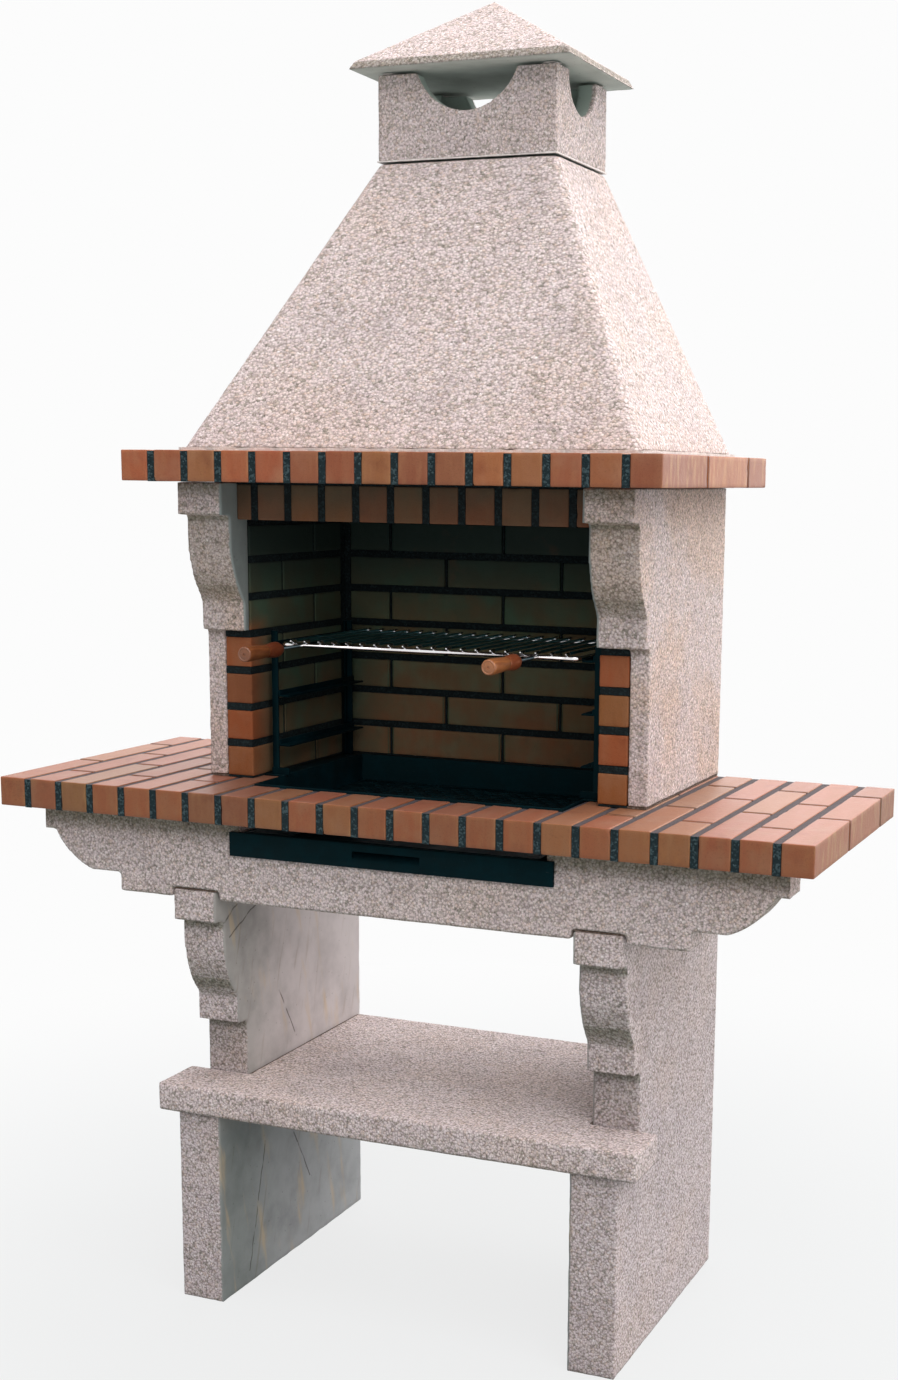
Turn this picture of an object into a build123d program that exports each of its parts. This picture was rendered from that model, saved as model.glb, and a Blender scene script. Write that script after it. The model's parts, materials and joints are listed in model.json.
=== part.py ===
from build123d import *
import os

os.makedirs("parts", exist_ok=True)

# Outdoor masonry barbecue, in millimetres. Z = 0 is the ground, X = 0 the middle of the width.
# Depths are given as distances behind the front edge of the worktop, and y_at() turns them into Y.

# Bricks and joints
brick_length = 220
brick_width = 50
brick_height = 50
joint_wide = 12
joint_thin = 3
joint_recess = 2
mortar_bed = 3
overrun = 10
seat_gap = 0.3

half_brick = (brick_length - joint_thin) / 2
row_pitch = brick_width + joint_wide
course_pitch = brick_height + joint_wide

# Worktop
worktop_rows = 23
worktop_top = 905
worktop_width = (worktop_rows - 1) * row_pitch + brick_width
worktop_depth = 2 * (brick_length + joint_thin) + half_brick
worktop_under = worktop_top - brick_height

# Firebox
firebox_clear_width = 624
firebox_courses = 8
wall_thickness = 34
back_wall_thickness = 24
lining_slip_thickness = 25
corner_joint = 15
back_corner_joint = 9
lining_back_cut = 10
back_lining_brick_offset = 4
firebox_clear_half = firebox_clear_width / 2
wall_outer_half = firebox_clear_half + brick_width + wall_thickness
wall_inner_half = firebox_clear_half + brick_width
back_lining_front = worktop_depth - back_wall_thickness - lining_slip_thickness
lining_run = brick_length + joint_thin + half_brick - lining_back_cut
back_lining_half = firebox_clear_half - back_corner_joint
firebox_front = back_lining_front - corner_joint - lining_run
mantel_under = worktop_top + firebox_courses * course_pitch

# Corbel mould, shared by the legs and the firebox walls
corbel_head_height = 54
corbel_head_step = 27.5
corbel_straight_height = 28
corbel_curve_height = 115
corbel_curve_depth = 42
corbel_curve_rise = 11
corbel_foot_height = 49
upper_corbel_reach = 86

# Mantel
mantel_rows = 15
mantel_side_rows = 2
mantel_front = 20
mantel_depth = worktop_depth
mantel_back = mantel_front + mantel_depth
mantel_top = mantel_under + brick_height
mantel_half = ((mantel_rows - 1) * row_pitch + brick_width) / 2
mantel_core_half = (mantel_rows - 2 * mantel_side_rows) * row_pitch / 2
smoke_opening_side_margin = 55
smoke_opening_front_margin = 112
smoke_opening_back_margin = 72

# Lintel, just behind the mantel's front bricks
lintel_setback = 1.5
lintel_brick_height = 58
lintel_front = mantel_front + half_brick + lintel_setback
lintel_top = mantel_under - mortar_bed
lintel_foot = lintel_top - lintel_brick_height

# Hood
hood_bed = 4
hood_setback = 85
hood_height = 468
hood_wall = 40
hood_corner_radius = 14
hood_side_reach = 2.5
hood_front = mantel_front + hood_setback
hood_foot = mantel_top + hood_bed
hood_head = hood_foot + hood_height

# Chimney collar and cap
collar_width = 320
collar_depth = 230
collar_height = 136
collar_wall = 34
collar_edge_radius = 3
collar_front_notch_width = 178
collar_side_notch_width = 120
collar_notch_depth = 62
cap_bed = 3
cap_overhang = 36.5
cap_eave_height = 15
cap_eave_inset = 8
cap_rise = 110
dab_radius = 14
collar_back = mantel_back
collar_front = collar_back - collar_depth
collar_foot = hood_head + mortar_bed
collar_top = collar_foot + collar_height
cap_foot = collar_top + cap_bed

# Overall depth, which sets the origin in the middle of the footprint
overall_depth = collar_back + cap_overhang
front_y = -overall_depth / 2

# Legs
leg_thickness = 82
leg_side_reach = 5
leg_front = 52
leg_back_reach = 11.5
leg_shaft_front = 150
leg_back = worktop_depth + leg_back_reach
leg_outer_half = wall_outer_half + leg_side_reach
leg_inner_half = leg_outer_half - leg_thickness

# Storage shelf
shelf_top = 387
shelf_thickness = 50
shelf_front = 41
shelf_back_setback = 11
shelf_ear_reach = 34
shelf_joint = 3
shelf_ear_clearance = 1.5
shelf_back = leg_back - shelf_back_setback
shelf_under = shelf_top - shelf_thickness

# Front beam
beam_front = 55
beam_thickness = 65
beam_half_length = 659
beam_end_height = 45
beam_end_step = 20
beam_curve_width = 72
beam_curve_height = 65
beam_curve_rise = 9
beam_flat_width = 59
beam_height = 142
beam_joint = 2
beam_notch_clearance = 4
beam_back_gap = 2
beam_back = beam_front + beam_thickness
beam_under = worktop_under - beam_height
leg_head_height_over_beam_foot = 15
leg_head_top = beam_under + leg_head_height_over_beam_foot

# Charcoal tray, in an opening as wide as the rows that fit between the linings
tray_clearance = 3
sheet = 2
tray_rim_setback = 36
tray_rim_least_lap = 15
tray_rim_back_width = 6
tray_rim_side_gap = 1
ash_hole_side_margin = 41
ash_hole_end_margin = 38
tray_side_rows = int((firebox_clear_half - tray_rim_least_lap - row_pitch / 2) / row_pitch)
tray_opening_half = tray_side_rows * row_pitch + row_pitch / 2
tray_rim_front = firebox_front + tray_rim_setback
tray_front = half_brick + tray_clearance
tray_back = back_lining_front - tray_clearance - tray_rim_back_width
tray_half = tray_opening_half - tray_clearance
tray_under = worktop_under + seat_gap
tray_opening_back = tray_back + tray_clearance

# Fire grate
grate_thickness = 4
grate_clearance = 12
grate_slot_length = 20
grate_slot_width = 9
grate_slot_pitch_x = 32
grate_slot_pitch_y = 21
grate_edge = 16

# Ash drawer, under the tray
drawer_side_inset = 14
drawer_back_inset = 26.5
drawer_height = 36
drawer_drop = 55
drawer_sheet = 1.5
drawer_front_reach = 7
drawer_front_side_lap = 25
drawer_front_foot_lap = 5
drawer_front_height = 40
pull_width = 120
pull_height = 15
pull_foot = 12
cutout_side_clearance = 10
cutout_foot_clearance = 3
runner_flange = 17
runner_side_gap = 5
drawer_half_width = tray_half - drawer_side_inset
drawer_back = tray_back - drawer_back_inset
drawer_foot = worktop_under - drawer_drop
drawer_front_face = beam_front - drawer_front_reach
drawer_front_half = drawer_half_width + drawer_front_side_lap
drawer_front_foot = drawer_foot - drawer_front_foot_lap
cutout_half = drawer_half_width + cutout_side_clearance
cutout_foot = drawer_foot - cutout_foot_clearance
drawer_box_front = beam_front - seat_gap
runner_outer = drawer_half_width + runner_side_gap + sheet

# Side racks of angle bar
rack_wall_gap = 12
rack_front_setback = 46
rack_back_clearance = 20.5
post_flange = 12
rail_flange = 22
rail_height = 11
angle_sheet = 3
foot_clip_width = 33
foot_clip_height = 12
rail_level_spacing = 85
rail_levels = 3
top_seat_over_worktop = 224
post_top_margin = 24
top_seat = worktop_top + top_seat_over_worktop
rack_front = firebox_front + rack_front_setback
rack_back = back_lining_front - rack_back_clearance
rack_outer = firebox_clear_half - rack_wall_gap
rack_inner = rack_outer - post_flange

# Cooking grill
bar_radius = 4
rod_radius = 2.5
rod_count = 20
rod_side_margin = 24
rod_front_overhang = 3
rod_back_overhang = 2
grill_front_reach = 22
grill_back_margin = 1
grill_side_clearance = 13
grill_corner_radius = 12
weld_gap = 0.05
grill_half = rack_inner - angle_sheet - grill_side_clearance
grill_front = rack_front - grill_front_reach
grill_back = rack_back - grill_back_margin
rod_pitch = 2 * (grill_half - rod_side_margin) / (rod_count - 1)
rod_front = grill_front - rod_front_overhang
rod_back = grill_back + rod_back_overhang
grill_bar_height = top_seat + bar_radius + weld_gap

# Wooden handles on wire tangs
left_handle_inset = 45
right_handle_inset = 77
handle_length = 112
handle_bore_clearance = 0.1
handle_end_radius = 9
handle_belly_radius = 14
handle_waist_radius = 10
handle_flare_radius = 13
handle_neck_radius = 9
tang_radius = 3
tang_free_length = 75
tang_grip_length = 70
handle_belly_share = 0.14
handle_waist_share = 0.58
handle_flare_share = 0.86
handle_shoulder_share = 0.97
left_handle_place = left_handle_inset - grill_half
right_handle_place = grill_half - right_handle_inset


def y_at(distance):
    """Y of a place that lies this far behind the front edge of the worktop."""
    return front_y + distance


def keep(piece, label):
    """Name a finished piece and write it to its own file."""
    piece.label = label
    export_step(piece, "parts/" + label + ".step")


def patch(left, right, low, high, mode=Mode.ADD):
    """One rectangle, from its two sides and its front and back, or its foot and head."""
    with Locations(((left + right) / 2, (low + high) / 2)):
        Rectangle(right - left, high - low, mode=mode)


def patches(boxes, mode=Mode.ADD):
    """Many rectangles, each as (left, right, front or foot, back or head), one size at a time."""
    sizes = {}
    for left, right, low, high in boxes:
        size = (round(right - left, 6), round(high - low, 6))
        sizes.setdefault(size, []).append(((left + right) / 2, (low + high) / 2))
    for (width, height), middles in sizes.items():
        with Locations(*middles):
            Rectangle(width, height, mode=mode)


def bond_run(start, starts_with_half):
    """Two whole bricks and a half, end to end, as (start, end) pairs along the depth."""
    lengths = [brick_length, brick_length, half_brick]
    if starts_with_half:
        lengths.reverse()
    run = []
    place = start
    for length in lengths:
        run.append((place, place + length))
        place += length + joint_thin
    return run


def corbel_edge(head_front, head_top, foot_depth):
    """The front of a corbel from its head down to its foot, in the plane of depth and height."""
    head_foot = head_top - corbel_head_height
    curve_front = head_front + corbel_head_step
    curve_top = head_foot - corbel_straight_height
    curve_foot = curve_top - corbel_curve_height
    curve_back = curve_front + corbel_curve_depth
    foot = curve_foot - corbel_foot_height
    chord = Vector(curve_back - curve_front, curve_foot - curve_top)
    middle = Vector((curve_front + curve_back) / 2, (curve_top + curve_foot) / 2)
    outward = Vector(chord.Y, -chord.X).normalized() * corbel_curve_rise
    bulge = middle + outward
    Polyline(
        (y_at(head_front), head_top),
        (y_at(head_front), head_foot),
        (y_at(curve_front), head_foot),
        (y_at(curve_front), curve_top),
    )
    ThreePointArc(
        (y_at(curve_front), curve_top),
        (y_at(bulge.X), bulge.Y),
        (y_at(curve_back), curve_foot),
    )
    Polyline(
        (y_at(curve_back), curve_foot),
        (y_at(curve_back), foot),
        (y_at(foot_depth), foot),
    )
    return foot


def leg(side):
    """One side slab with its shelf ledge, its corbel and the head that carries the beam."""
    start = leg_inner_half if side > 0 else -leg_outer_half
    with BuildPart() as slab:
        with BuildSketch(Plane.YZ.offset(start)):
            with BuildLine():
                foot = corbel_edge(leg_front, leg_head_top, leg_shaft_front)
                Polyline(
                    (y_at(leg_shaft_front), foot),
                    (y_at(leg_shaft_front), shelf_under),
                    (y_at(leg_front), shelf_under),
                    (y_at(leg_front), 0),
                    (y_at(leg_back), 0),
                    (y_at(leg_back), worktop_under),
                    (y_at(beam_back + beam_back_gap), worktop_under),
                    (y_at(beam_back + beam_back_gap), leg_head_top),
                    (y_at(leg_front), leg_head_top),
                )
            make_face()
        extrude(amount=leg_thickness)
    return slab.part


leg_left = leg(-1)
keep(leg_left, "leg_left")

leg_right = leg(1)
keep(leg_right, "leg_right")

# Storage shelf: a board between the legs with an ear in front of each leg
with BuildPart() as shelf:
    with BuildSketch(Plane.XY.offset(shelf_under)):
        board_half = leg_inner_half - shelf_joint
        patch(-board_half, board_half, y_at(shelf_front), y_at(shelf_back))
        ear_half = leg_outer_half + shelf_ear_reach
        patch(-ear_half, ear_half, y_at(shelf_front), y_at(leg_shaft_front - shelf_ear_clearance))
    extrude(amount=shelf_thickness)
keep(shelf.part, "storage_shelf")

# Mortar between the shelf's ends and the legs
with BuildPart() as shelf_joints:
    with BuildSketch(Plane.XY.offset(shelf_under + joint_recess)):
        for left in (-leg_inner_half, leg_inner_half - shelf_joint):
            patch(left, left + shelf_joint, y_at(leg_shaft_front), y_at(shelf_back - joint_recess))
    extrude(amount=shelf_thickness - 2 * joint_recess)
keep(shelf_joints.part, "shelf_joints")

# Front beam: shaped ends, a notch over each leg head and an open cut-out for the ash drawer
with BuildPart() as beam:
    with BuildSketch(Plane.XZ.offset(-y_at(beam_back))):
        with BuildLine():
            end_foot = worktop_under - beam_end_height
            curve_start = beam_half_length - beam_end_step
            curve_end = curve_start - beam_curve_width
            curve_foot = end_foot - beam_curve_height
            flat_end = curve_end - beam_flat_width
            chord = Vector(curve_end - curve_start, curve_foot - end_foot)
            outward = Vector(-chord.Y, chord.X).normalized() * beam_curve_rise
            bulge = Vector((curve_start + curve_end) / 2, (end_foot + curve_foot) / 2) + outward
            Polyline(
                (0, worktop_under),
                (beam_half_length, worktop_under),
                (beam_half_length, end_foot),
                (curve_start, end_foot),
            )
            ThreePointArc((curve_start, end_foot), (bulge.X, bulge.Y), (curve_end, curve_foot))
            Polyline(
                (curve_end, curve_foot),
                (flat_end, curve_foot),
                (flat_end, beam_under),
                (0, beam_under),
            )
            mirror(about=Plane.YZ)
        make_face()
        for inner in (-leg_outer_half, leg_inner_half):
            patch(
                inner - beam_notch_clearance,
                inner + leg_thickness + beam_notch_clearance,
                beam_under - overrun,
                leg_head_top + beam_joint,
                mode=Mode.SUBTRACT,
            )
        patch(-cutout_half, cutout_half, cutout_foot, worktop_under + overrun, mode=Mode.SUBTRACT)
    extrude(amount=beam_thickness)
keep(beam.part, "front_beam")

# Mortar on each leg head, which the beam's notch sits on
with BuildPart() as beam_bedding:
    with BuildSketch(Plane.XY.offset(leg_head_top)):
        for left in (-leg_outer_half, leg_inner_half):
            patch(left, left + leg_thickness, y_at(beam_front + joint_recess), y_at(beam_back))
    extrude(amount=beam_joint)
keep(beam_bedding.part, "beam_bedding")


def worktop_row(index):
    """The bricks of one worktop row, as (start, end) pairs along the depth."""
    if abs(index) <= tray_side_rows:
        return [(0, half_brick), (tray_opening_back, worktop_depth)]
    return bond_run(0, index % 2 == 0)


def worktop_brick_boxes():
    """Every worktop brick in plan."""
    last = (worktop_rows - 1) // 2
    boxes = []
    for index in range(-last, last + 1):
        left = index * row_pitch - brick_width / 2
        for start, end in worktop_row(index):
            boxes.append((left, left + brick_width, y_at(start), y_at(end)))
    return boxes


# Worktop bricks, laid front to back in rows
with BuildPart() as worktop_bricks:
    with BuildSketch(Plane.XY.offset(worktop_under)):
        patches(worktop_brick_boxes())
    extrude(amount=brick_height)
keep(worktop_bricks.part, "worktop_bricks")

# Mortar between the worktop bricks, open for the tray
with BuildPart() as worktop_mortar:
    with BuildSketch(Plane.XY.offset(worktop_under)):
        half = worktop_width / 2 - brick_width / 2
        patch(-half, half, y_at(joint_recess), y_at(worktop_depth - joint_recess))
        patch(
            -tray_opening_half,
            tray_opening_half,
            y_at(half_brick - joint_recess),
            y_at(tray_opening_back),
            Mode.SUBTRACT,
        )
        patches(worktop_brick_boxes(), Mode.SUBTRACT)
    extrude(amount=brick_height - joint_recess)
keep(worktop_mortar.part, "worktop_mortar")


def side_wall(side):
    """A firebox side wall cast in one piece with its corbel."""
    corbel_front = firebox_front - upper_corbel_reach
    corbel_height = (
        corbel_head_height + corbel_straight_height + corbel_curve_height + corbel_foot_height
    )
    slab_start = wall_inner_half if side > 0 else -wall_outer_half
    corbel_start = firebox_clear_half if side > 0 else -wall_outer_half
    with BuildPart() as wall:
        with BuildSketch(Plane.XY.offset(worktop_top + mortar_bed)):
            patch(
                slab_start,
                slab_start + wall_thickness,
                y_at(firebox_front),
                y_at(worktop_depth),
            )
        extrude(amount=mantel_under - worktop_top - mortar_bed)
        with BuildSketch(Plane.YZ.offset(corbel_start)):
            with BuildLine():
                corbel_edge(corbel_front, mantel_under, firebox_front)
                Polyline(
                    (y_at(firebox_front), mantel_under - corbel_height),
                    (y_at(firebox_front), mantel_under),
                    (y_at(corbel_front), mantel_under),
                )
            make_face()
        extrude(amount=wall_outer_half - firebox_clear_half)
    return wall.part


wall_left = side_wall(-1)
keep(wall_left, "wall_left")

wall_right = side_wall(1)
keep(wall_right, "wall_right")

# Back wall between the side walls
with BuildPart() as back_wall:
    with BuildSketch(Plane.XY.offset(worktop_top + mortar_bed)):
        patch(
            -wall_inner_half,
            wall_inner_half,
            y_at(worktop_depth - back_wall_thickness),
            y_at(worktop_depth),
        )
    extrude(amount=mantel_under - worktop_top - mortar_bed)
keep(back_wall.part, "back_wall")

# Mortar under the three walls
with BuildPart() as wall_bed:
    with BuildSketch(Plane.XY.offset(worktop_top)):
        patch(
            -wall_outer_half + joint_recess,
            wall_outer_half - joint_recess,
            y_at(worktop_depth - back_wall_thickness),
            y_at(worktop_depth - joint_recess),
        )
        for left in (-wall_outer_half + joint_recess, wall_inner_half):
            patch(
                left,
                left + wall_thickness - joint_recess,
                y_at(firebox_front + joint_recess),
                y_at(worktop_depth - joint_recess),
            )
    extrude(amount=mortar_bed)
keep(wall_bed.part, "wall_bed")


def side_lining_boxes():
    """The side lining bricks in the plane of depth and height."""
    boxes = []
    for course in range(firebox_courses):
        foot = worktop_top + mortar_bed + course * course_pitch
        first = half_brick if course % 2 else brick_length
        split_at = firebox_front + first
        for start, end in (
            (firebox_front, split_at),
            (split_at + joint_thin, firebox_front + lining_run),
        ):
            boxes.append((y_at(start), y_at(end), foot, foot + brick_height))
    return boxes


def side_lining(side):
    """The bricks and the mortar of one side lining."""
    brick_start = firebox_clear_half if side > 0 else -wall_inner_half
    mortar_start = firebox_clear_half + joint_recess if side > 0 else -wall_inner_half
    with BuildPart() as bricks:
        with BuildSketch(Plane.YZ.offset(brick_start)):
            patches(side_lining_boxes())
        extrude(amount=brick_width)
    with BuildPart() as mortar:
        with BuildSketch(Plane.YZ.offset(mortar_start)):
            patch(
                y_at(firebox_front + joint_recess),
                y_at(back_lining_front),
                worktop_top,
                mantel_under,
            )
            patches(side_lining_boxes(), Mode.SUBTRACT)
        extrude(amount=brick_width - joint_recess)
    return bricks.part, mortar.part


lining_bricks_left, lining_mortar_left = side_lining(-1)
keep(lining_bricks_left, "lining_bricks_left")
keep(lining_mortar_left, "lining_mortar_left")

lining_bricks_right, lining_mortar_right = side_lining(1)
keep(lining_bricks_right, "lining_bricks_right")
keep(lining_mortar_right, "lining_mortar_right")


def back_lining_boxes():
    """The back lining bricks, whole ones with cut ones at the two sides."""
    pitch = brick_length + joint_thin
    boxes = []
    for course in range(firebox_courses):
        foot = worktop_top + mortar_bed + course * course_pitch
        shift = back_lining_brick_offset + (pitch / 2 if course % 2 else 0)
        count = int(worktop_width / pitch)
        for index in range(-count, count + 1):
            start = max(shift + index * pitch, -back_lining_half)
            end = min(shift + index * pitch + brick_length, back_lining_half)
            if end - start > joint_wide:
                boxes.append((start, end, foot, foot + brick_height))
    return boxes


# Back lining of brick slips in courses
with BuildPart() as lining_bricks_back:
    with BuildSketch(Plane.XZ.offset(-y_at(back_lining_front + lining_slip_thickness))):
        patches(back_lining_boxes())
    extrude(amount=lining_slip_thickness)
keep(lining_bricks_back.part, "lining_bricks_back")

with BuildPart() as lining_mortar_back:
    with BuildSketch(Plane.XZ.offset(-y_at(back_lining_front + lining_slip_thickness))):
        patch(-wall_inner_half, wall_inner_half, worktop_top, mantel_under)
        patches(back_lining_boxes(), Mode.SUBTRACT)
    extrude(amount=lining_slip_thickness - joint_recess)
keep(lining_mortar_back.part, "lining_mortar_back")


def lintel_boxes():
    """The lintel's brick ends between the corbels, with a cut brick at each end."""
    last = int(firebox_clear_half / row_pitch) + 1
    boxes = []
    for index in range(-last, last + 1):
        start = max(index * row_pitch - brick_width / 2, -firebox_clear_half)
        end = min(index * row_pitch + brick_width / 2, firebox_clear_half)
        if end - start > joint_thin:
            boxes.append((start, end, lintel_foot, lintel_top))
    return boxes


# Lintel of half bricks set crosswise under the mantel
with BuildPart() as lintel_bricks:
    with BuildSketch(Plane.XZ.offset(-y_at(lintel_front + half_brick))):
        patches(lintel_boxes())
    extrude(amount=half_brick)
keep(lintel_bricks.part, "lintel_bricks")

with BuildPart() as lintel_mortar:
    with BuildSketch(Plane.XZ.offset(-y_at(lintel_front + half_brick))):
        patch(-firebox_clear_half, firebox_clear_half, lintel_foot, mantel_under)
        patches(lintel_boxes(), Mode.SUBTRACT)
    extrude(amount=half_brick - joint_recess)
keep(lintel_mortar.part, "lintel_mortar")


def mantel_brick_boxes():
    """Every mantel brick in plan: whole rows at the sides, half bricks along the front."""
    last = (mantel_rows - 1) // 2
    boxes = []
    for index in range(-last, last + 1):
        left = index * row_pitch - brick_width / 2
        if abs(index) > last - mantel_side_rows:
            run = bond_run(mantel_front, index % 2 == 0)
        else:
            run = [(mantel_front, mantel_front + half_brick)]
        for start, end in run:
            boxes.append((left, left + brick_width, y_at(start), y_at(end)))
    return boxes


def mantel_core_patch(mode):
    """The mantel's concrete core in plan."""
    patch(
        -mantel_core_half,
        mantel_core_half,
        y_at(mantel_front + half_brick + joint_thin),
        y_at(mantel_back),
        mode,
    )


# Mantel bricks
with BuildPart() as mantel_bricks:
    with BuildSketch(Plane.XY.offset(mantel_under)):
        patches(mantel_brick_boxes())
    extrude(amount=brick_height)
keep(mantel_bricks.part, "mantel_bricks")

# Mortar between the mantel bricks
with BuildPart() as mantel_mortar:
    with BuildSketch(Plane.XY.offset(mantel_under)):
        half = mantel_half - brick_width / 2
        patch(-half, half, y_at(mantel_front + joint_recess), y_at(mantel_back - joint_recess))
        mantel_core_patch(Mode.SUBTRACT)
        patches(mantel_brick_boxes(), Mode.SUBTRACT)
    extrude(amount=brick_height - joint_recess)
keep(mantel_mortar.part, "mantel_mortar")

# Mantel core of concrete with the smoke opening
smoke_half = firebox_clear_half - smoke_opening_side_margin
smoke_front = lintel_front + smoke_opening_front_margin
smoke_back = mantel_back - smoke_opening_back_margin
with BuildPart() as mantel_core:
    with BuildSketch(Plane.XY.offset(mantel_under)):
        mantel_core_patch(Mode.ADD)
        patch(-smoke_half, smoke_half, y_at(smoke_front), y_at(smoke_back), Mode.SUBTRACT)
    extrude(amount=brick_height)
keep(mantel_core.part, "mantel_core")


def hood_ring(front, back, half):
    """One level of the hood: a rectangle in plan with rounded corners."""
    with Locations((0, (y_at(front) + y_at(back)) / 2)):
        RectangleRounded(half * 2, back - front, hood_corner_radius)


hood_half = wall_outer_half + hood_side_reach
collar_half = collar_width / 2

# Mortar under the hood
with BuildPart() as hood_mortar:
    with BuildSketch(Plane.XY.offset(mantel_top)):
        patch(
            -hood_half + joint_recess,
            hood_half - joint_recess,
            y_at(hood_front + joint_recess),
            y_at(mantel_back - joint_recess),
        )
        patch(
            -hood_half + hood_wall,
            hood_half - hood_wall,
            y_at(hood_front + hood_wall),
            y_at(mantel_back - hood_wall),
            Mode.SUBTRACT,
        )
    extrude(amount=hood_bed)
keep(hood_mortar.part, "hood_bed")

# Hood: a hollow cast funnel with an upright back, open at the bottom and the top
with BuildPart() as hood:
    with BuildSketch(Plane.XY.offset(hood_foot)):
        hood_ring(hood_front, mantel_back, hood_half)
    with BuildSketch(Plane.XY.offset(hood_head)):
        hood_ring(collar_front, collar_back, collar_half)
    loft()
    with BuildSketch(Plane.XY.offset(hood_foot)):
        hood_ring(hood_front + hood_wall, mantel_back - hood_wall, hood_half - hood_wall)
    with BuildSketch(Plane.XY.offset(hood_head)):
        hood_ring(collar_front + collar_wall, collar_back - collar_wall, collar_half - collar_wall)
    loft(mode=Mode.SUBTRACT)
keep(hood.part, "hood")

# Thin joint between the hood and the collar
with BuildPart() as collar_bed:
    with BuildSketch(Plane.XY.offset(hood_head)):
        patch(
            -collar_half + joint_recess,
            collar_half - joint_recess,
            y_at(collar_front + joint_recess),
            y_at(collar_back - joint_recess),
        )
        patch(
            -collar_half + collar_wall,
            collar_half - collar_wall,
            y_at(collar_front + collar_wall),
            y_at(collar_back - collar_wall),
            Mode.SUBTRACT,
        )
    extrude(amount=mortar_bed)
keep(collar_bed.part, "collar_bed")


def notch_edge(middle, width):
    """The outline of a round-bottomed notch in the top edge of a collar wall."""
    half = width / 2
    floor = collar_top - collar_notch_depth
    ThreePointArc((middle - half, collar_top), (middle, floor), (middle + half, collar_top))
    Polyline(
        (middle + half, collar_top),
        (middle + half, collar_top + overrun),
        (middle - half, collar_top + overrun),
        (middle - half, collar_top),
    )


# Chimney collar: a short square tube with an arched smoke notch in each side
collar_middle = (collar_front + collar_back) / 2
with BuildPart() as collar:
    with BuildSketch(Plane.XY.offset(collar_foot)):
        patch(-collar_half, collar_half, y_at(collar_front), y_at(collar_back))
        patch(
            -collar_half + collar_wall,
            collar_half - collar_wall,
            y_at(collar_front + collar_wall),
            y_at(collar_back - collar_wall),
            Mode.SUBTRACT,
        )
    extrude(amount=collar_height)
    corner_edges = collar.edges().filter_by(Axis.Z).group_by(Axis.X)
    fillet(corner_edges[0] + corner_edges[-1], collar_edge_radius)
    with BuildSketch(Plane.XZ.offset(-y_at(collar_back + overrun))):
        with BuildLine():
            notch_edge(0, collar_front_notch_width)
        make_face()
    extrude(amount=collar_depth + 2 * overrun, mode=Mode.SUBTRACT)
    with BuildSketch(Plane.YZ.offset(-collar_half - overrun)):
        with BuildLine():
            notch_edge(y_at(collar_middle), collar_side_notch_width)
        make_face()
    extrude(amount=collar_width + 2 * overrun, mode=Mode.SUBTRACT)
keep(collar.part, "chimney_collar")

# Mortar dabs on the four horns of the collar, which the cap lies on
with BuildPart() as cap_dabs:
    dab_x = collar_half - collar_wall / 2
    dab_y = collar_depth / 2 - collar_wall / 2
    with BuildSketch(Plane.XY.offset(collar_top)):
        with Locations((0, y_at(collar_middle))):
            with GridLocations(2 * dab_x, 2 * dab_y, 2, 2):
                Circle(dab_radius)
    extrude(amount=cap_bed)
keep(cap_dabs.part, "cap_dabs")

# Chimney cap: a flat eave with splayed edges under a low pyramid
cap_half = collar_half + cap_overhang
cap_half_depth = collar_depth / 2 + cap_overhang
with BuildPart() as cap:
    for height, inset in ((0, 0), (cap_eave_height, cap_eave_inset)):
        with BuildSketch(Plane.XY.offset(cap_foot + height)):
            with Locations((0, y_at(collar_middle))):
                Rectangle(2 * (cap_half - inset), 2 * (cap_half_depth - inset))
    loft()
    with BuildSketch(Plane.XY.offset(cap_foot + cap_eave_height)):
        with Locations((0, y_at(collar_middle))):
            Rectangle(2 * (cap_half - cap_eave_inset), 2 * (cap_half_depth - cap_eave_inset))
    top_point = Vertex(0, y_at(collar_middle), cap_foot + cap_eave_height + cap_rise)
    loft(sections=[cap.pending_faces[0], top_point])
keep(cap.part, "chimney_cap")

# Charcoal tray: a sheet box in the worktop's opening, with a rim at the sides and the back
tray_rim_half = firebox_clear_half - tray_rim_side_gap
with BuildPart() as tray:
    with BuildSketch(Plane.XY.offset(tray_under)):
        patch(-tray_half, tray_half, y_at(tray_front), y_at(tray_back))
    extrude(amount=worktop_top - tray_under + sheet)
    with BuildSketch(Plane.XY.offset(worktop_top)):
        patch(
            -tray_rim_half,
            tray_rim_half,
            y_at(tray_rim_front),
            y_at(back_lining_front - tray_rim_side_gap),
        )
    extrude(amount=sheet)
    with BuildSketch(Plane.XY.offset(tray_under + sheet)):
        patch(
            -tray_half + sheet,
            tray_half - sheet,
            y_at(tray_front + sheet),
            y_at(tray_back - sheet),
        )
    extrude(amount=worktop_top - tray_under + overrun, mode=Mode.SUBTRACT)
    with BuildSketch(Plane.XY.offset(tray_under - overrun)):
        patch(
            -tray_half + ash_hole_side_margin,
            tray_half - ash_hole_side_margin,
            y_at(tray_front + ash_hole_end_margin),
            y_at(tray_back - ash_hole_end_margin),
        )
    extrude(amount=overrun + sheet, mode=Mode.SUBTRACT)
keep(tray.part, "charcoal_tray")

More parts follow.
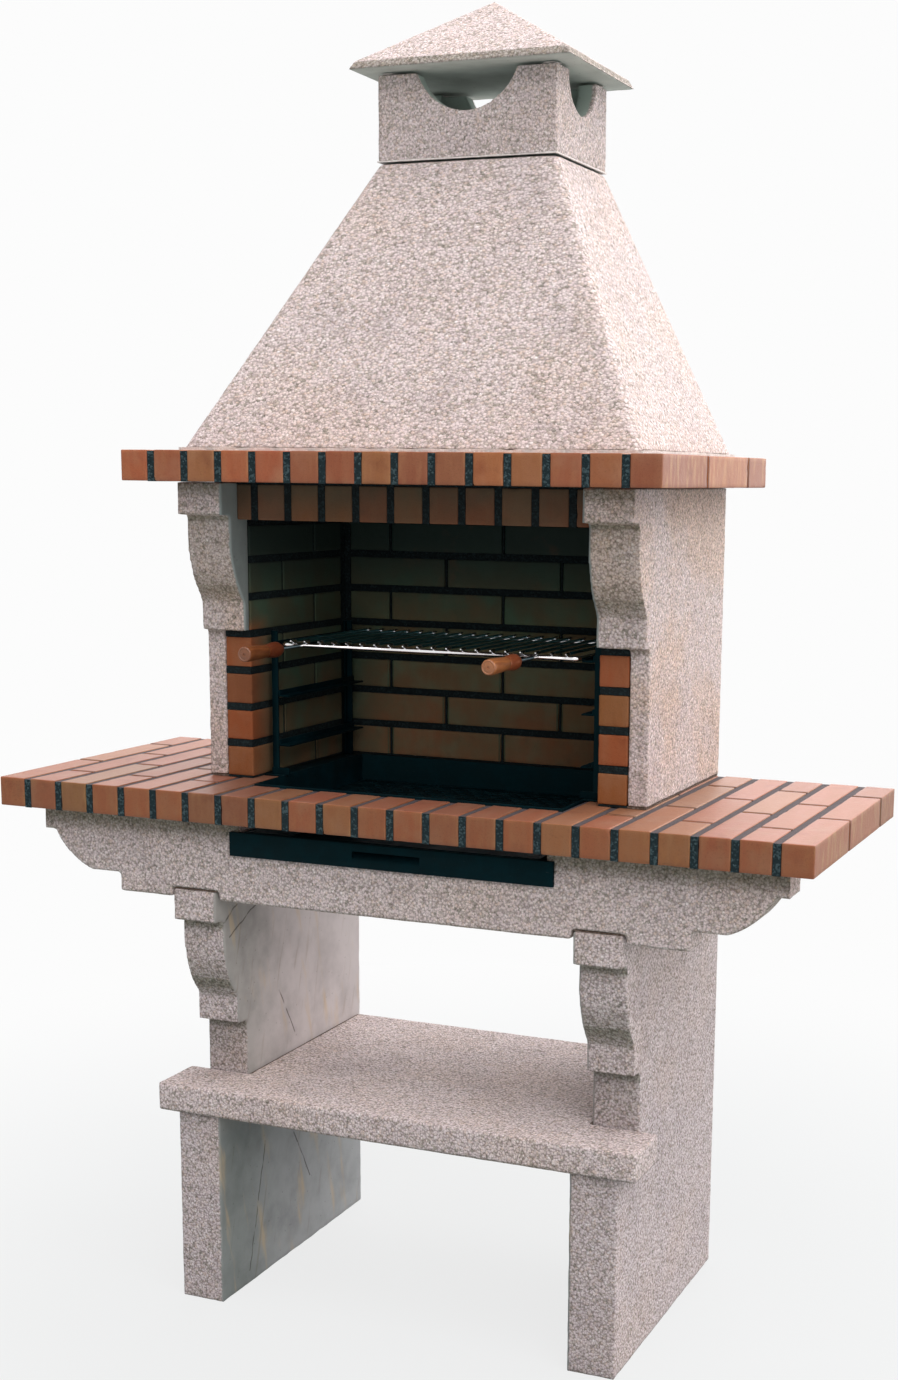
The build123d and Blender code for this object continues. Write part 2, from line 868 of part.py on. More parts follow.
# Fire grate: a loose slotted plate on the tray's floor
grate_half = tray_half - sheet - grate_clearance
grate_front = tray_front + sheet + grate_clearance
grate_back = tray_back - sheet - grate_clearance
with BuildPart() as grate:
    with BuildSketch(Plane.XY.offset(tray_under + sheet)):
        patch(-grate_half, grate_half, y_at(grate_front), y_at(grate_back))
        rows = int((grate_back - grate_front - 2 * grate_edge) / grate_slot_pitch_y)
        columns = int((2 * grate_half - 2 * grate_edge) / grate_slot_pitch_x)
        for row in range(rows):
            row_place = (row - (rows - 1) / 2) * grate_slot_pitch_y
            row_columns = columns - row % 2
            with Locations((0, y_at((grate_front + grate_back) / 2) + row_place)):
                with GridLocations(grate_slot_pitch_x, grate_slot_pitch_y, row_columns, 1):
                    Rectangle(grate_slot_length, grate_slot_width, mode=Mode.SUBTRACT)
    extrude(amount=grate_thickness)
keep(grate.part, "fire_grate")

# Runners: one angle under each side of the tray, which the ash drawer slides on
with BuildPart() as runners:
    for side in (-1, 1):
        with BuildSketch(Plane.XZ.offset(-y_at(tray_back))):
            with BuildLine():
                outer = side * runner_outer
                web = side * (runner_outer - sheet)
                lip = side * (runner_outer - runner_flange - sheet)
                floor = drawer_foot - seat_gap - sheet
                Polyline(
                    (outer, floor),
                    (outer, tray_under),
                    (web, tray_under),
                    (web, floor + sheet),
                    (lip, floor + sheet),
                    (lip, floor),
                    (outer, floor),
                )
            make_face()
        extrude(amount=tray_back - tray_front)
keep(runners.part, "drawer_runners")

# Ash drawer: an open sheet box
with BuildPart() as drawer:
    with BuildSketch(Plane.XY.offset(drawer_foot)):
        patch(-drawer_half_width, drawer_half_width, y_at(drawer_box_front), y_at(drawer_back))
    extrude(amount=drawer_height)
    with BuildSketch(Plane.XY.offset(drawer_foot + drawer_sheet)):
        patch(
            -drawer_half_width + drawer_sheet,
            drawer_half_width - drawer_sheet,
            y_at(drawer_box_front + drawer_sheet),
            y_at(drawer_back - drawer_sheet),
        )
    extrude(amount=drawer_height + overrun, mode=Mode.SUBTRACT)
keep(drawer.part, "ash_drawer")

# Drawer front: a folded plate with a sloping finger pull in its middle
front_fold = drawer_box_front - drawer_front_face
front_head = drawer_front_foot + drawer_front_height
pull_low = drawer_front_foot + pull_foot
pull_high = pull_low + pull_height
with BuildPart() as drawer_plate:
    with BuildSketch(Plane.XZ.offset(-y_at(drawer_box_front))):
        patch(-drawer_front_half, drawer_front_half, drawer_front_foot, front_head)
    extrude(amount=front_fold)
    with BuildSketch(Plane.XZ.offset(-y_at(drawer_box_front))):
        patch(
            -drawer_front_half + drawer_sheet,
            drawer_front_half - drawer_sheet,
            drawer_front_foot + drawer_sheet,
            front_head - drawer_sheet,
        )
    extrude(amount=front_fold - drawer_sheet, mode=Mode.SUBTRACT)
    with BuildSketch(Plane.XZ.offset(-y_at(drawer_box_front))):
        patch(-pull_width / 2, pull_width / 2, pull_low, pull_high)
    extrude(amount=front_fold, mode=Mode.SUBTRACT)
    with BuildSketch(Plane.YZ.offset(-pull_width / 2)):
        with BuildLine():
            Polyline(
                (y_at(drawer_front_face), pull_low),
                (y_at(drawer_front_face), pull_low - drawer_sheet),
                (y_at(drawer_box_front), pull_high - drawer_sheet),
                (y_at(drawer_box_front), pull_high),
                (y_at(drawer_front_face), pull_low),
            )
        make_face()
    extrude(amount=pull_width)
keep(drawer_plate.part, "drawer_front")


def rack_places():
    """The mirrored X positions of the two racks, as (side, outer face, inner face)."""
    return ((-1, -rack_outer, -rack_inner), (1, rack_outer, rack_inner))


# Rack posts: four upright angles on the tray's rim, the front ones with a foot clip
post_foot = worktop_top + sheet
post_head = top_seat + post_top_margin
with BuildPart() as posts:
    for side, outer, inner in rack_places():
        for edge, turn in ((rack_front, 1), (rack_back, -1)):
            with BuildSketch(Plane.XY.offset(post_foot)):
                with BuildLine():
                    Polyline(
                        (outer, y_at(edge)),
                        (inner, y_at(edge)),
                        (inner, y_at(edge + turn * angle_sheet)),
                        (outer - side * angle_sheet, y_at(edge + turn * angle_sheet)),
                        (outer - side * angle_sheet, y_at(edge + turn * post_flange)),
                        (outer, y_at(edge + turn * post_flange)),
                        (outer, y_at(edge)),
                    )
                make_face()
            extrude(amount=post_head - post_foot)
        clip_end = outer - side * foot_clip_width
        with BuildSketch(Plane.XY.offset(post_foot)):
            patch(
                min(outer, clip_end),
                max(outer, clip_end),
                y_at(rack_front - angle_sheet),
                y_at(rack_front),
            )
        extrude(amount=foot_clip_height)
keep(posts.part, "rack_posts")

# Rack rails: three levels of angles on each side, which the grill slides on
with BuildPart() as rails:
    for side, outer, inner in rack_places():
        for level in range(rail_levels):
            seat = top_seat - level * rail_level_spacing
            with BuildSketch(Plane.XZ.offset(-y_at(rack_back))):
                with BuildLine():
                    Polyline(
                        (inner, seat - angle_sheet),
                        (inner, seat - angle_sheet + rail_height),
                        (inner - side * angle_sheet, seat - angle_sheet + rail_height),
                        (inner - side * angle_sheet, seat),
                        (inner - side * rail_flange, seat),
                        (inner - side * rail_flange, seat - angle_sheet),
                        (inner, seat - angle_sheet),
                    )
                make_face()
            extrude(amount=rack_back - rack_front)
keep(rails.part, "rack_rails")

# Grill frame: a bent round bar, with the wire tangs that the handles grip
frame_half = grill_half - bar_radius
frame_front = grill_front + bar_radius
frame_back = grill_back - bar_radius
frame_plane = Plane.XY.offset(grill_bar_height)
tang_length = tang_free_length + tang_grip_length
with BuildPart() as grill_frame:
    with BuildLine(frame_plane) as frame_path:
        FilletPolyline(
            (0, y_at(frame_front)),
            (frame_half, y_at(frame_front)),
            (frame_half, y_at(frame_back)),
            (0, y_at(frame_back)),
            radius=grill_corner_radius,
        )
    with BuildSketch(Plane.YZ):
        with Locations((y_at(frame_front), grill_bar_height)):
            Circle(bar_radius)
    sweep()
    mirror(about=Plane.YZ)
    for place in (left_handle_place, right_handle_place):
        with BuildSketch(Plane.XZ.offset(-y_at(frame_front))):
            with Locations((place, grill_bar_height)):
                Circle(tang_radius)
        extrude(amount=tang_length + bar_radius)
keep(grill_frame.part, "grill_frame")

# Grill rods: straight wires laid front to back on the frame
rod_height = grill_bar_height + bar_radius + weld_gap + rod_radius
with BuildPart() as rods:
    with BuildSketch(Plane.XZ.offset(-y_at(rod_back))):
        with Locations((0, rod_height)):
            with GridLocations(rod_pitch, rod_pitch, rod_count, 1):
                Circle(rod_radius)
    extrude(amount=rod_back - rod_front)
keep(rods.part, "grill_rods")


def wooden_handle(place):
    """A turned handle with a bore for its tang, thickest near the hand's end and flared by the grill."""
    near = grill_front - tang_free_length
    far = near - handle_length
    with BuildPart() as grip:
        with BuildSketch(Plane.YZ.offset(place)):
            with BuildLine():
                axis = grill_bar_height
                belly = (y_at(far + handle_belly_share * handle_length), axis + handle_belly_radius)
                waist = (y_at(far + handle_waist_share * handle_length), axis + handle_waist_radius)
                flare = (y_at(far + handle_flare_share * handle_length), axis + handle_flare_radius)
                shoulder_place = far + handle_shoulder_share * handle_length
                shoulder = (y_at(shoulder_place), axis + handle_neck_radius)
                Line((y_at(near), axis), (y_at(far), axis))
                Line((y_at(far), axis), (y_at(far), axis + handle_end_radius))
                Spline((y_at(far), axis + handle_end_radius), belly, waist, flare, shoulder)
                Line(shoulder, (y_at(near), axis + handle_neck_radius))
                Line((y_at(near), axis + handle_neck_radius), (y_at(near), axis))
            make_face()
        turning_axis = Axis((place, y_at(far), grill_bar_height), (0, 1, 0))
        revolve(axis=turning_axis)
        with BuildSketch(Plane.XZ.offset(-y_at(near))):
            with Locations((place, grill_bar_height)):
                Circle(tang_radius + handle_bore_clearance)
        extrude(amount=tang_grip_length + handle_bore_clearance, mode=Mode.SUBTRACT)
    return grip.part


handle_left = wooden_handle(left_handle_place)
keep(handle_left, "handle_left")

handle_right = wooden_handle(right_handle_place)
keep(handle_right, "handle_right")
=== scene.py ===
import json
import math
import random

import bmesh
import bpy
import numpy as np
from mathutils import Matrix, Vector, noise

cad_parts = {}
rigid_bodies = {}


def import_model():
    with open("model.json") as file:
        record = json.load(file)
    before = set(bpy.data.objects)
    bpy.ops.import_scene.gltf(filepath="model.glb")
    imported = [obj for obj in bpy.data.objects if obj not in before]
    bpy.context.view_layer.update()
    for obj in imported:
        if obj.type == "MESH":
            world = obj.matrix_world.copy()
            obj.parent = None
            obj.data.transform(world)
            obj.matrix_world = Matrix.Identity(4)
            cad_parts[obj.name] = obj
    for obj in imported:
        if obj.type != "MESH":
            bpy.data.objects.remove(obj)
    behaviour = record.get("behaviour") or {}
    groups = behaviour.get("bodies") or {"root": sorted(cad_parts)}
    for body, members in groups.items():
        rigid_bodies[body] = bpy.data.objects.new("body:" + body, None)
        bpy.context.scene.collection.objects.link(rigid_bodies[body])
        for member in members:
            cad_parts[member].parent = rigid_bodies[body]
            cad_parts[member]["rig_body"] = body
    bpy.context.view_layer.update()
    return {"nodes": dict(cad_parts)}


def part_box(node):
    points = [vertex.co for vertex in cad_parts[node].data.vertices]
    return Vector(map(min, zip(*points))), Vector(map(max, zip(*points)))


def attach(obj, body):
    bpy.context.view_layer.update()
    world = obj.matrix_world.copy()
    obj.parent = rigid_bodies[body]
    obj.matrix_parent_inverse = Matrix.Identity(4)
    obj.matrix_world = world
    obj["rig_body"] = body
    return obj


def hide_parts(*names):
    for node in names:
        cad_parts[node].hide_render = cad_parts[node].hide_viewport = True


bl_info = {
    "name": "Masonry Barbecue Looks",
    "version": (1, 0, 0),
    "blender": (4, 5, 0),
    "location": "3D View > Sidebar > Barbecue",
    "description": "Dresses the frame of an outdoor masonry barbecue with stone, brick, metal and wood",
    "category": "Object",
}

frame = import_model()


def shade(red, green, blue):
    """A colour as it looks on a screen, in 0 to 255, turned into the linear values that shaders take."""
    parts = [value / 255 for value in (red, green, blue)]
    return tuple(p / 12.92 if p <= 0.04045 else ((p + 0.055) / 1.055) ** 2.4 for p in parts)


# Places on the frame, in metres
MM = 0.001
LEG_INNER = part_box("leg_right")[0].x
WALL_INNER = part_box("wall_right")[0].x
MANTEL_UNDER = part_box("mantel_bricks")[0].z
MANTEL_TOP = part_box("mantel_bricks")[1].z
WORKTOP_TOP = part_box("worktop_bricks")[1].z
HOOD_LOW, HOOD_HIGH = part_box("hood")
COLLAR_LOW, COLLAR_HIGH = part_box("chimney_collar")
CAP_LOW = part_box("chimney_cap")[0]
RODS_LOW, RODS_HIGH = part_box("grill_rods")
SHELF_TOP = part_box("storage_shelf")[1].z
LEG_TOP = 0.728
ROW = 0.062
BRICK = 0.050
HEAD_HIGH = 0.054
FOOT_HIGH = 0.049
CORBEL_HIGH = 0.246

# Hairlines on the smooth inner faces of the legs, as (Y, Z) at both ends
VEINS = (
    ((-0.043, 0.504), (0.015, 0.405)),
    ((-0.206, 0.639), (-0.108, 0.684)),
    ((-0.222, 0.668), (-0.18, 0.69)),
    ((-0.03, 0.28), (0.06, 0.12)),
    ((-0.16, 0.02), (-0.1, 0.24)),
)

# Sizes of the work itself, in metres
MERGED = 0.000001  # corners this close are one
BESIDE = 0.006  # from a brick's end to a place in the brick beyond its thin joint
THIN_JOINT = 0.0022  # what a thin joint takes off a brick's length
BEAD_STEP = 0.006  # between two sections of a mortar bead
BEAD_RINGS = 9  # points on the outside of one section
CHIP_SIZE, DENT_SIZE = 1 / 45, 1 / 22  # of the chips along a brick's edges and the dents in its faces
SWAY_SIZE = 1 / 9  # of the waves in a grill rod

# Outline of a turned handle from its mounting to its end: share of its length, radius in mm
HANDLE_PROFILE = (
    (0.0, 3.2), (0.0, 8.0), (0.006, 8.7), (0.03, 9.6), (0.06, 11.0), (0.1, 12.3), (0.14, 12.9),
    (0.18, 12.8), (0.24, 12.2), (0.3, 11.5), (0.36, 11.0), (0.4, 10.8), (0.41, 10.2), (0.42, 10.0),
    (0.43, 10.2), (0.44, 10.8), (0.5, 11.0), (0.6, 11.4), (0.7, 11.9), (0.8, 12.3), (0.88, 12.5),
    (0.94, 12.5), (0.97, 12.2), (0.988, 11.6), (0.997, 10.9), (1.0, 10.2), (1.0, 9.5), (0.995, 9.0),
    (0.994, 8.4), (0.997, 7.8), (0.997, 2.2), (0.985, 2.0), (0.983, 0.4),
)

# The camera, solved from the photograph's points for an image of WIDE x TALL pixels
WIDE, TALL = 898, 1380
FOCAL, CENTRE_X, CENTRE_Y = 1868.7, 551.75, 822.2
YAW, PITCH, ROLL = math.radians(21.8), math.radians(-10.5), math.radians(0.7)
CAMERA_PLACE = (1.3265, -2.8629, 1.4172)
FILM = 36.0


# Node trees written as arithmetic


def arithmetic(operation, reflected=False):
    """A method of Wire for one operation, or for the form with the wire on the right."""

    def act(wire, other):
        given = (other, wire) if reflected else (wire, other)
        vectors = any(isinstance(w, Wire) and w.socket.type in ("VECTOR", "RGBA") for w in given)
        return wire.graph.maths(operation, *given, kind="VectorMath" if vectors else "Math")

    return act


class Wire:
    """A node's output that takes Python arithmetic with numbers and other wires."""

    __add__, __radd__ = arithmetic("ADD"), arithmetic("ADD", True)
    __sub__, __rsub__ = arithmetic("SUBTRACT"), arithmetic("SUBTRACT", True)
    __mul__, __rmul__ = arithmetic("MULTIPLY"), arithmetic("MULTIPLY", True)
    __truediv__, __rtruediv__ = arithmetic("DIVIDE"), arithmetic("DIVIDE", True)
    __pow__ = arithmetic("POWER")
    __gt__ = arithmetic("GREATER_THAN")
    __lt__ = arithmetic("LESS_THAN")

    def __init__(self, graph, socket):
        self.graph = graph
        self.socket = socket


class Graph:
    """Adds nodes to one tree and gives their outputs back as wires."""

    def __init__(self, tree, material=None):
        self.tree = tree
        self.material = material

    def node(self, kind, settings=None, values=None, out=None, **named):
        """One node: its settings first, then the values or wires of its sockets, by number or by name."""
        made = self.tree.nodes.new(kind)
        for key, value in (settings or {}).items():
            if key == "stops":
                self.fill_ramp(made.color_ramp, value)
            else:
                setattr(made, key, value)
        pairs = [(made.inputs[index], value) for index, value in (values or {}).items()]
        for key, value in named.items():
            name = key.replace("_", " ")
            pairs.append((next(s for s in made.inputs if s.name == name and s.enabled), value))
        for socket, value in pairs:
            if isinstance(value, Wire):
                self.tree.links.new(value.socket, socket)
            else:
                self.fill_socket(socket, value)
        return Wire(self, next((s for s in made.outputs if s.enabled and out in (None, s.name)), None))

    def fill_socket(self, socket, value):
        default = getattr(socket, "default_value", None)
        if isinstance(default, (float, int, str)) or default is None:
            socket.default_value = value
        elif isinstance(value, (float, int)):
            socket.default_value = [value] * len(default)
        else:
            socket.default_value = list(value) + [1.0] * (len(default) - len(value))

    def fill_ramp(self, ramp, stops):
        while len(ramp.elements) < len(stops):
            ramp.elements.new(1.0)
        for element, (place, colour) in zip(ramp.elements, stops):
            element.position = place
            element.color = (*colour, 1.0)

    def maths(self, operation, *given, kind="Math", out=None):
        """A Math node, or a Vector Math node."""
        return self.node("ShaderNode" + kind, {"operation": operation}, dict(enumerate(given)), out)

    def both(self, first, second):
        return self.maths("MINIMUM", first, second)

    def either(self, first, second):
        return self.maths("MAXIMUM", first, second)

    def absolute(self, value):
        return self.maths("ABSOLUTE", value)

    def length(self, vector):
        return self.maths("LENGTH", vector, kind="VectorMath", out="Value")

    def mix(self, factor, first, second, blend="MIX"):
        """A colour between two."""
        settings = {"data_type": "RGBA", "blend_type": blend}
        return self.node("ShaderNodeMix", settings, Factor=factor, A=first, B=second)

    def multiply(self, factor, first, second):
        """The first colour darkened by the second."""
        return self.mix(factor, first, second, "MULTIPLY")

    def ramp(self, value, stops):
        """A colour read from stops of (place, colour)."""
        return self.node("ShaderNodeValToRGB", {"stops": stops}, Fac=value)

    def step(self, value, low, high, start=0.0, end=1.0):
        """A smooth rise from start to end while value goes from low to high."""
        return self.node("ShaderNodeMapRange", {"interpolation_type": "SMOOTHSTEP"}, Value=value,
                         From_Min=low, From_Max=high, To_Min=start, To_Max=end)

    def noise(self, place, size, detail=2.0, roughness=0.5, out=None):
        """Soft noise whose blobs are about as wide as size, from 0 to 1."""
        return self.node("ShaderNodeTexNoise", out=out, Vector=place, Scale=1 / size, Detail=detail,
                         Roughness=roughness)

    def patches(self, place, size, low, high, detail=3.0, roughness=0.5):
        """Soft noise cut to patches that rise from 0 to 1 between low and high."""
        return self.step(self.noise(place, size, detail, roughness), low, high)

    def grains(self, place, size, out="Distance"):
        """Separate grains about as wide as size."""
        return self.node("ShaderNodeTexVoronoi", Vector=place, Scale=1 / size, out=out)

    def split(self, vector):
        """The three numbers of a vector."""
        made = self.node("ShaderNodeSeparateXYZ", Vector=vector).socket.node
        return [Wire(self, socket) for socket in made.outputs]

    def join(self, x, y, z):
        """A vector of three numbers."""
        return self.node("ShaderNodeCombineXYZ", X=x, Y=y, Z=z)

    def normal(self):
        """The three numbers of the way that a surface faces."""
        return self.split(self.node("ShaderNodeNewGeometry", out="Normal"))

    def attribute(self, name, out="Vector"):
        """What a mesh holds under a name."""
        return self.node("ShaderNodeAttribute", {"attribute_name": name}, out=out)


# Finishes


def start_material(name):
    """The graph of a material with an empty tree, and the object coordinates."""
    material = bpy.data.materials.new(name)
    material.use_nodes = True
    material.node_tree.nodes.clear()
    graph = Graph(material.node_tree, material)
    return graph, graph.node("ShaderNodeTexCoord", out="Object")


def end_material(graph, colour, roughness, height, relief, **more):
    """Joins colour, roughness and the rest to the shader, with bumps as high as relief."""
    bumps = graph.node("ShaderNodeBump", Height=height, Distance=relief, Strength=1.0)
    return link_surface(graph, graph.node("ShaderNodeBsdfPrincipled", Base_Color=colour, Roughness=roughness,
                                          Normal=bumps, **more))


def link_surface(graph, shader):
    """Ends a material's tree."""
    graph.node("ShaderNodeOutputMaterial", Surface=shader)
    return graph.material


def cast_stone(name, looks, smooth=None, smooth_colour=None, veins=False, stretch=1.0, shade_and_stain_bands=(), darker_below=None,
               all_round=False, pitted=0.62, warmth=0.3):
    """Blasted cast stone: grains of white, pink, tan and grey grit, smooth where the mould's face shows.

    Faces that face down get painted shade. Each band holds (height, depth, strength): painted shade and
    olive stains from that height down, fading over that depth, on upright faces in front or all round. Below
    an optional height the stone gets darker towards the bottom; pitted is how dark its hollows are and warmth
    how tan its patches."""
    graph, place = start_material(name)
    wobble = graph.noise(place, 1 / 300, out="Color")
    loose = (place + (wobble - 0.5) * 0.003) * (1.0 / stretch, 1.0, 1.0)
    size = looks.grain_size
    tone = graph.split(graph.grains(loose, size, "Color"))
    dome = graph.grains(loose, size)
    fine = graph.grains(loose, size * 0.5)
    fine_tone = graph.split(graph.grains(loose, size * 0.5, "Color"))
    main = tuple(looks.colour)
    grit = graph.ramp(tone[0], [
        (0.0, shade(169, 164, 156)), (0.06, shade(203, 194, 184)), (0.3, main), (0.55, shade(248, 238, 237)),
        (0.75, main), (0.9, shade(231, 213, 202)), (1.0, shade(255, 249, 249)),
    ])
    speck = graph.ramp(fine_tone[1], [
        (0.0, shade(190, 187, 180)), (0.25, shade(240, 236, 236)), (1.0, shade(255, 254, 254)),
    ])
    colour = graph.multiply(0.8, grit, speck)
    colour = graph.multiply(graph.step(dome, 0.36, 0.76) * pitted, colour, shade(174, 169, 165))
    colour = graph.multiply(graph.patches(place, 0.16, 0.42, 0.66) * warmth, colour, shade(255, 246, 234))
    colour = graph.multiply(graph.patches(place + 3.7, 0.09, 0.5, 0.7) * 0.3, colour, shade(222, 222, 226))
    normal = graph.normal()
    # Painted shade: faces that face down are darkened.
    shade_and_stains = graph.step(normal[2], -0.12, -0.5) * 0.5
    level = graph.split(place)[2] + (graph.noise(place, 0.025, 3.0) - 0.5) * 0.01
    if all_round:
        upright = graph.step(graph.absolute(normal[2]), 0.75, 0.6)
    else:
        upright = graph.step(normal[1], -0.35, -0.6)
    # Painted shade under ledges, with olive stains: a dark band from each given height down.
    for top, depth, strength in shade_and_stain_bands:
        dark_band = graph.step(level, top - depth, top - depth * 0.3) * graph.step(level, top + 0.003, top)
        shade_and_stains = graph.either(shade_and_stains, dark_band * upright * strength)
    colour = graph.multiply(shade_and_stains, colour, shade(155, 163, 145))
    # Darker towards the bottom, below the given height.
    if darker_below is not None:
        colour = graph.multiply(graph.step(level, darker_below, darker_below - 0.4, 0.3, 0.8), colour, shade(228, 230, 234))
    height = (1.0 - dome) * (tone[1] * 0.7 + 0.3) + (1.0 - fine) * 0.35
    if smooth is not None:
        mask = smooth(graph, *graph.split(place), (graph.noise(place, 0.012, 3.0) - 0.5) * 0.006)
        colour = graph.mix(mask, colour, cement_colour(graph, place, smooth_colour, veins))
        height = height * (1.0 - mask) + graph.noise(place, 0.03, 4.0) * 0.2 * mask
    roughness = 0.86 + tone[2] * 0.12
    return end_material(graph, colour, roughness, height, looks.grain_relief, Specular_IOR_Level=0.3)


def inner_skin(limit):
    """Where a slab is smooth: on its face towards the middle, whose X is limit."""

    def mask(graph, x, y, z, ragged):
        return graph.step(graph.absolute(x) + ragged, limit + 0.006, limit + 0.002)

    return mask


def cement_colour(graph, place, base, veins):
    """The skin that cement takes against a smooth mould: clouds, small pores, hairlines, ochre smears,
    painted shade.
    """
    clouds = graph.noise(place, 0.07, 4.0, 0.6)
    dark, light = (tuple(min(c * share, 0.9) for c in base) for share in (0.82, 1.05))
    colour = graph.ramp(clouds, [(0.3, dark), (0.55, tuple(base)), (0.75, light)])
    pores = graph.step(graph.grains(place, 0.018), 0.1, 0.05)
    colour = graph.multiply(pores * 0.4, colour, shade(130, 128, 122))
    if veins:
        x, y, z = graph.split(place)
        # Painted shade: the face is darker towards its front edge.
        front_shade = graph.step(y + (clouds - 0.5) * 0.12, 0.02, -0.22)
        colour = graph.multiply(front_shade * 0.8, colour, shade(190, 198, 192))
        # Painted shade under the shelf.
        low = graph.step(z, SHELF_TOP - 0.03, SHELF_TOP - 0.1) * 0.75
        colour = graph.multiply(low, colour, shade(196, 212, 216))
        ochre = graph.patches(graph.join(0.0, y * 1.6 + z * 0.3, z * 0.32), 0.05, 0.56, 0.76)
        colour = graph.mix(ochre * 0.5, colour, shade(206, 178, 134))
        streak = graph.patches(graph.join(4.0, y * 2.6 - z * 0.7, z * 0.25), 0.03, 0.6, 0.74)
        colour = graph.multiply(streak * 0.3, colour, shade(198, 178, 150))
        sway = graph.noise(place, 0.03, 3.0) * 0.008
        for start, end in VEINS:
            gap = distance_to_line(graph, graph.join(0.0, y + sway, z - sway), start, end)
            hair = graph.step(gap, 0.0022, 0.0006) * graph.patches(place, 0.02, 0.3, 0.5, 2.0)
            colour = graph.multiply(hair * 0.75, colour, shade(120, 112, 104))
    return colour


def distance_to_line(graph, place, start, end):
    """How far a place is from a straight line between two points, in the plane across X."""
    start, run = Vector((0.0, *start)), Vector((0.0, *end)) - Vector((0.0, *start))
    local = place - tuple(start)
    dot = graph.maths("DOT_PRODUCT", local, tuple(run / run.length_squared), kind="VectorMath", out="Value")
    share = graph.node("ShaderNodeClamp", Value=dot)
    nearest = graph.node("ShaderNodeVectorMath", {"operation": "SCALE"}, {0: tuple(run)}, Scale=share)
    return graph.length(local - nearest)


def lining_soot_and_shade(graph, place, own):
    """How dark the lining's soot and painted shade are, and how black: more at the top, the back, the left
    and the corbels.
    """
    x, y, z = graph.split(place)
    up = graph.step(z, WORKTOP_TOP + 0.02, MANTEL_UNDER - 0.08)
    deep = graph.step(y, -0.15, -0.05, 0.1, 1.0)
    behind = graph.step(z, MANTEL_UNDER - CORBEL_HIGH - 0.01, MANTEL_UNDER - CORBEL_HIGH + 0.03) * 0.9
    left = graph.step(x, -0.2, -0.3) * 0.22
    smoke = graph.noise(place, 0.08, 4.0, 0.6) - 0.5
    # Soot and painted shade: more towards the top, the back, the left and behind the corbels.
    cover = (0.54 + up * 0.53 + left + smoke * 0.9) * graph.either(deep, behind)
    return cover, graph.either(graph.step(z, WORKTOP_TOP + 0.2, MANTEL_UNDER - 0.09), left * 2.0)


def lintel_soot_and_shade(graph, place, own):
    """How dark the lintel's soot and painted shade are, and how black: all over, and most just under the
    mantel.
    """
    # Soot and painted shade, blackest just under the mantel.
    up = graph.step(graph.split(place)[2], MANTEL_UNDER - 0.06, MANTEL_UNDER)
    return 0.57 + up * 0.2 + (graph.noise(own, 0.04, 3.0) - 0.5) * 0.3, 0.8


def fired_brick(name, looks, soot_and_shade=None, upright_shade=None, top_sheen=0.0):
    """Extruded terracotta: each brick a little different, with long streaks and pale runs on its sides, which
    are stronger on faces that look sideways and so partly paint the light on them.

    A given colour paints shade on upright faces, and a given share paints a sheen on those that face up."""
    graph, place = start_material(name)
    tone = graph.attribute("brick_tone", "Fac")
    own = place + tone * 7.0
    body = graph.ramp(tone, [
        (0.0, shade(131, 70, 42)), (0.2, shade(160, 85, 48)), (0.4, tuple(looks.brick_colour)),
        (0.6, shade(133, 79, 49)), (0.8, shade(160, 93, 51)), (1.0, shade(139, 88, 49)),
    ])
    x, y, z = graph.split(own)
    streak = graph.noise(graph.join(x, y * 0.16, z * 0.16), 0.016, 3.0)
    colour = graph.mix(graph.step(streak, 0.35, 0.75) * 0.4, body, shade(160, 108, 76))
    colour = graph.mix(graph.patches(own, 0.055, 0.48, 0.72) * 0.3, colour, shade(164, 118, 90))
    colour = graph.multiply(graph.patches(own + 4.0, 0.04, 0.58, 0.75) * 0.35, colour, shade(186, 140, 116))
    normal = graph.normal()
    upright = graph.step(graph.absolute(normal[2]), 0.7, 0.4)
    if soot_and_shade is None:
        # Pale runs, stronger on faces that look sideways, which partly paints the light on the sides.
        pale_runs_and_side_light = graph.patches(graph.join(x, y, z * 0.3), 0.014, 0.45, 0.7)
        share = pale_runs_and_side_light * upright * (graph.absolute(normal[0]) * 0.3 + 0.08)
        colour = graph.mix(share, colour, shade(196, 152, 100))
    # Painted shade on upright faces.
    if upright_shade is not None:
        colour = graph.multiply(upright, colour, upright_shade)
    # Painted sheen on faces that face up, tinting them pink.
    if top_sheen:
        facing_up = graph.step(normal[2], 0.6, 0.9)
        colour = graph.multiply(facing_up, colour, shade(221, 238, 250))
        colour = graph.mix(facing_up * top_sheen, colour, shade(190, 150, 152))
    sand = graph.noise(own, 0.0022, 2.0)
    colour = graph.multiply(graph.step(sand, 0.5, 0.75) * 0.25, colour, shade(160, 120, 100))
    smear = graph.step(thin_joint_gap(graph), 0.0042 + sand * 0.002, 0.002)
    colour = graph.multiply(smear * 0.93, colour, shade(72, 50, 48))
    # Soot and painted shade from the given mask, on the lining and the lintel.
    if soot_and_shade:
        olive = graph.patches(own, 0.07, 0.4, 0.65, 2.0)
        thick, black = soot_and_shade(graph, place, own)
        cover = graph.node("ShaderNodeClamp", Value=thick, Max=0.98)
        dirt = graph.mix(olive, shade(106, 107, 81), shade(96, 120, 95))
        colour = graph.mix(cover, colour, graph.mix(black, dirt, shade(36, 54, 50)))
    roughness, shine = (0.7 + streak * 0.2, 0.2) if soot_and_shade else (0.46 + streak * 0.16, 0.5)
    height = sand * 0.5 + graph.noise(own, 0.009, 3.0) * 0.8
    return end_material(graph, colour, roughness, height, 0.0006, Specular_IOR_Level=shine)


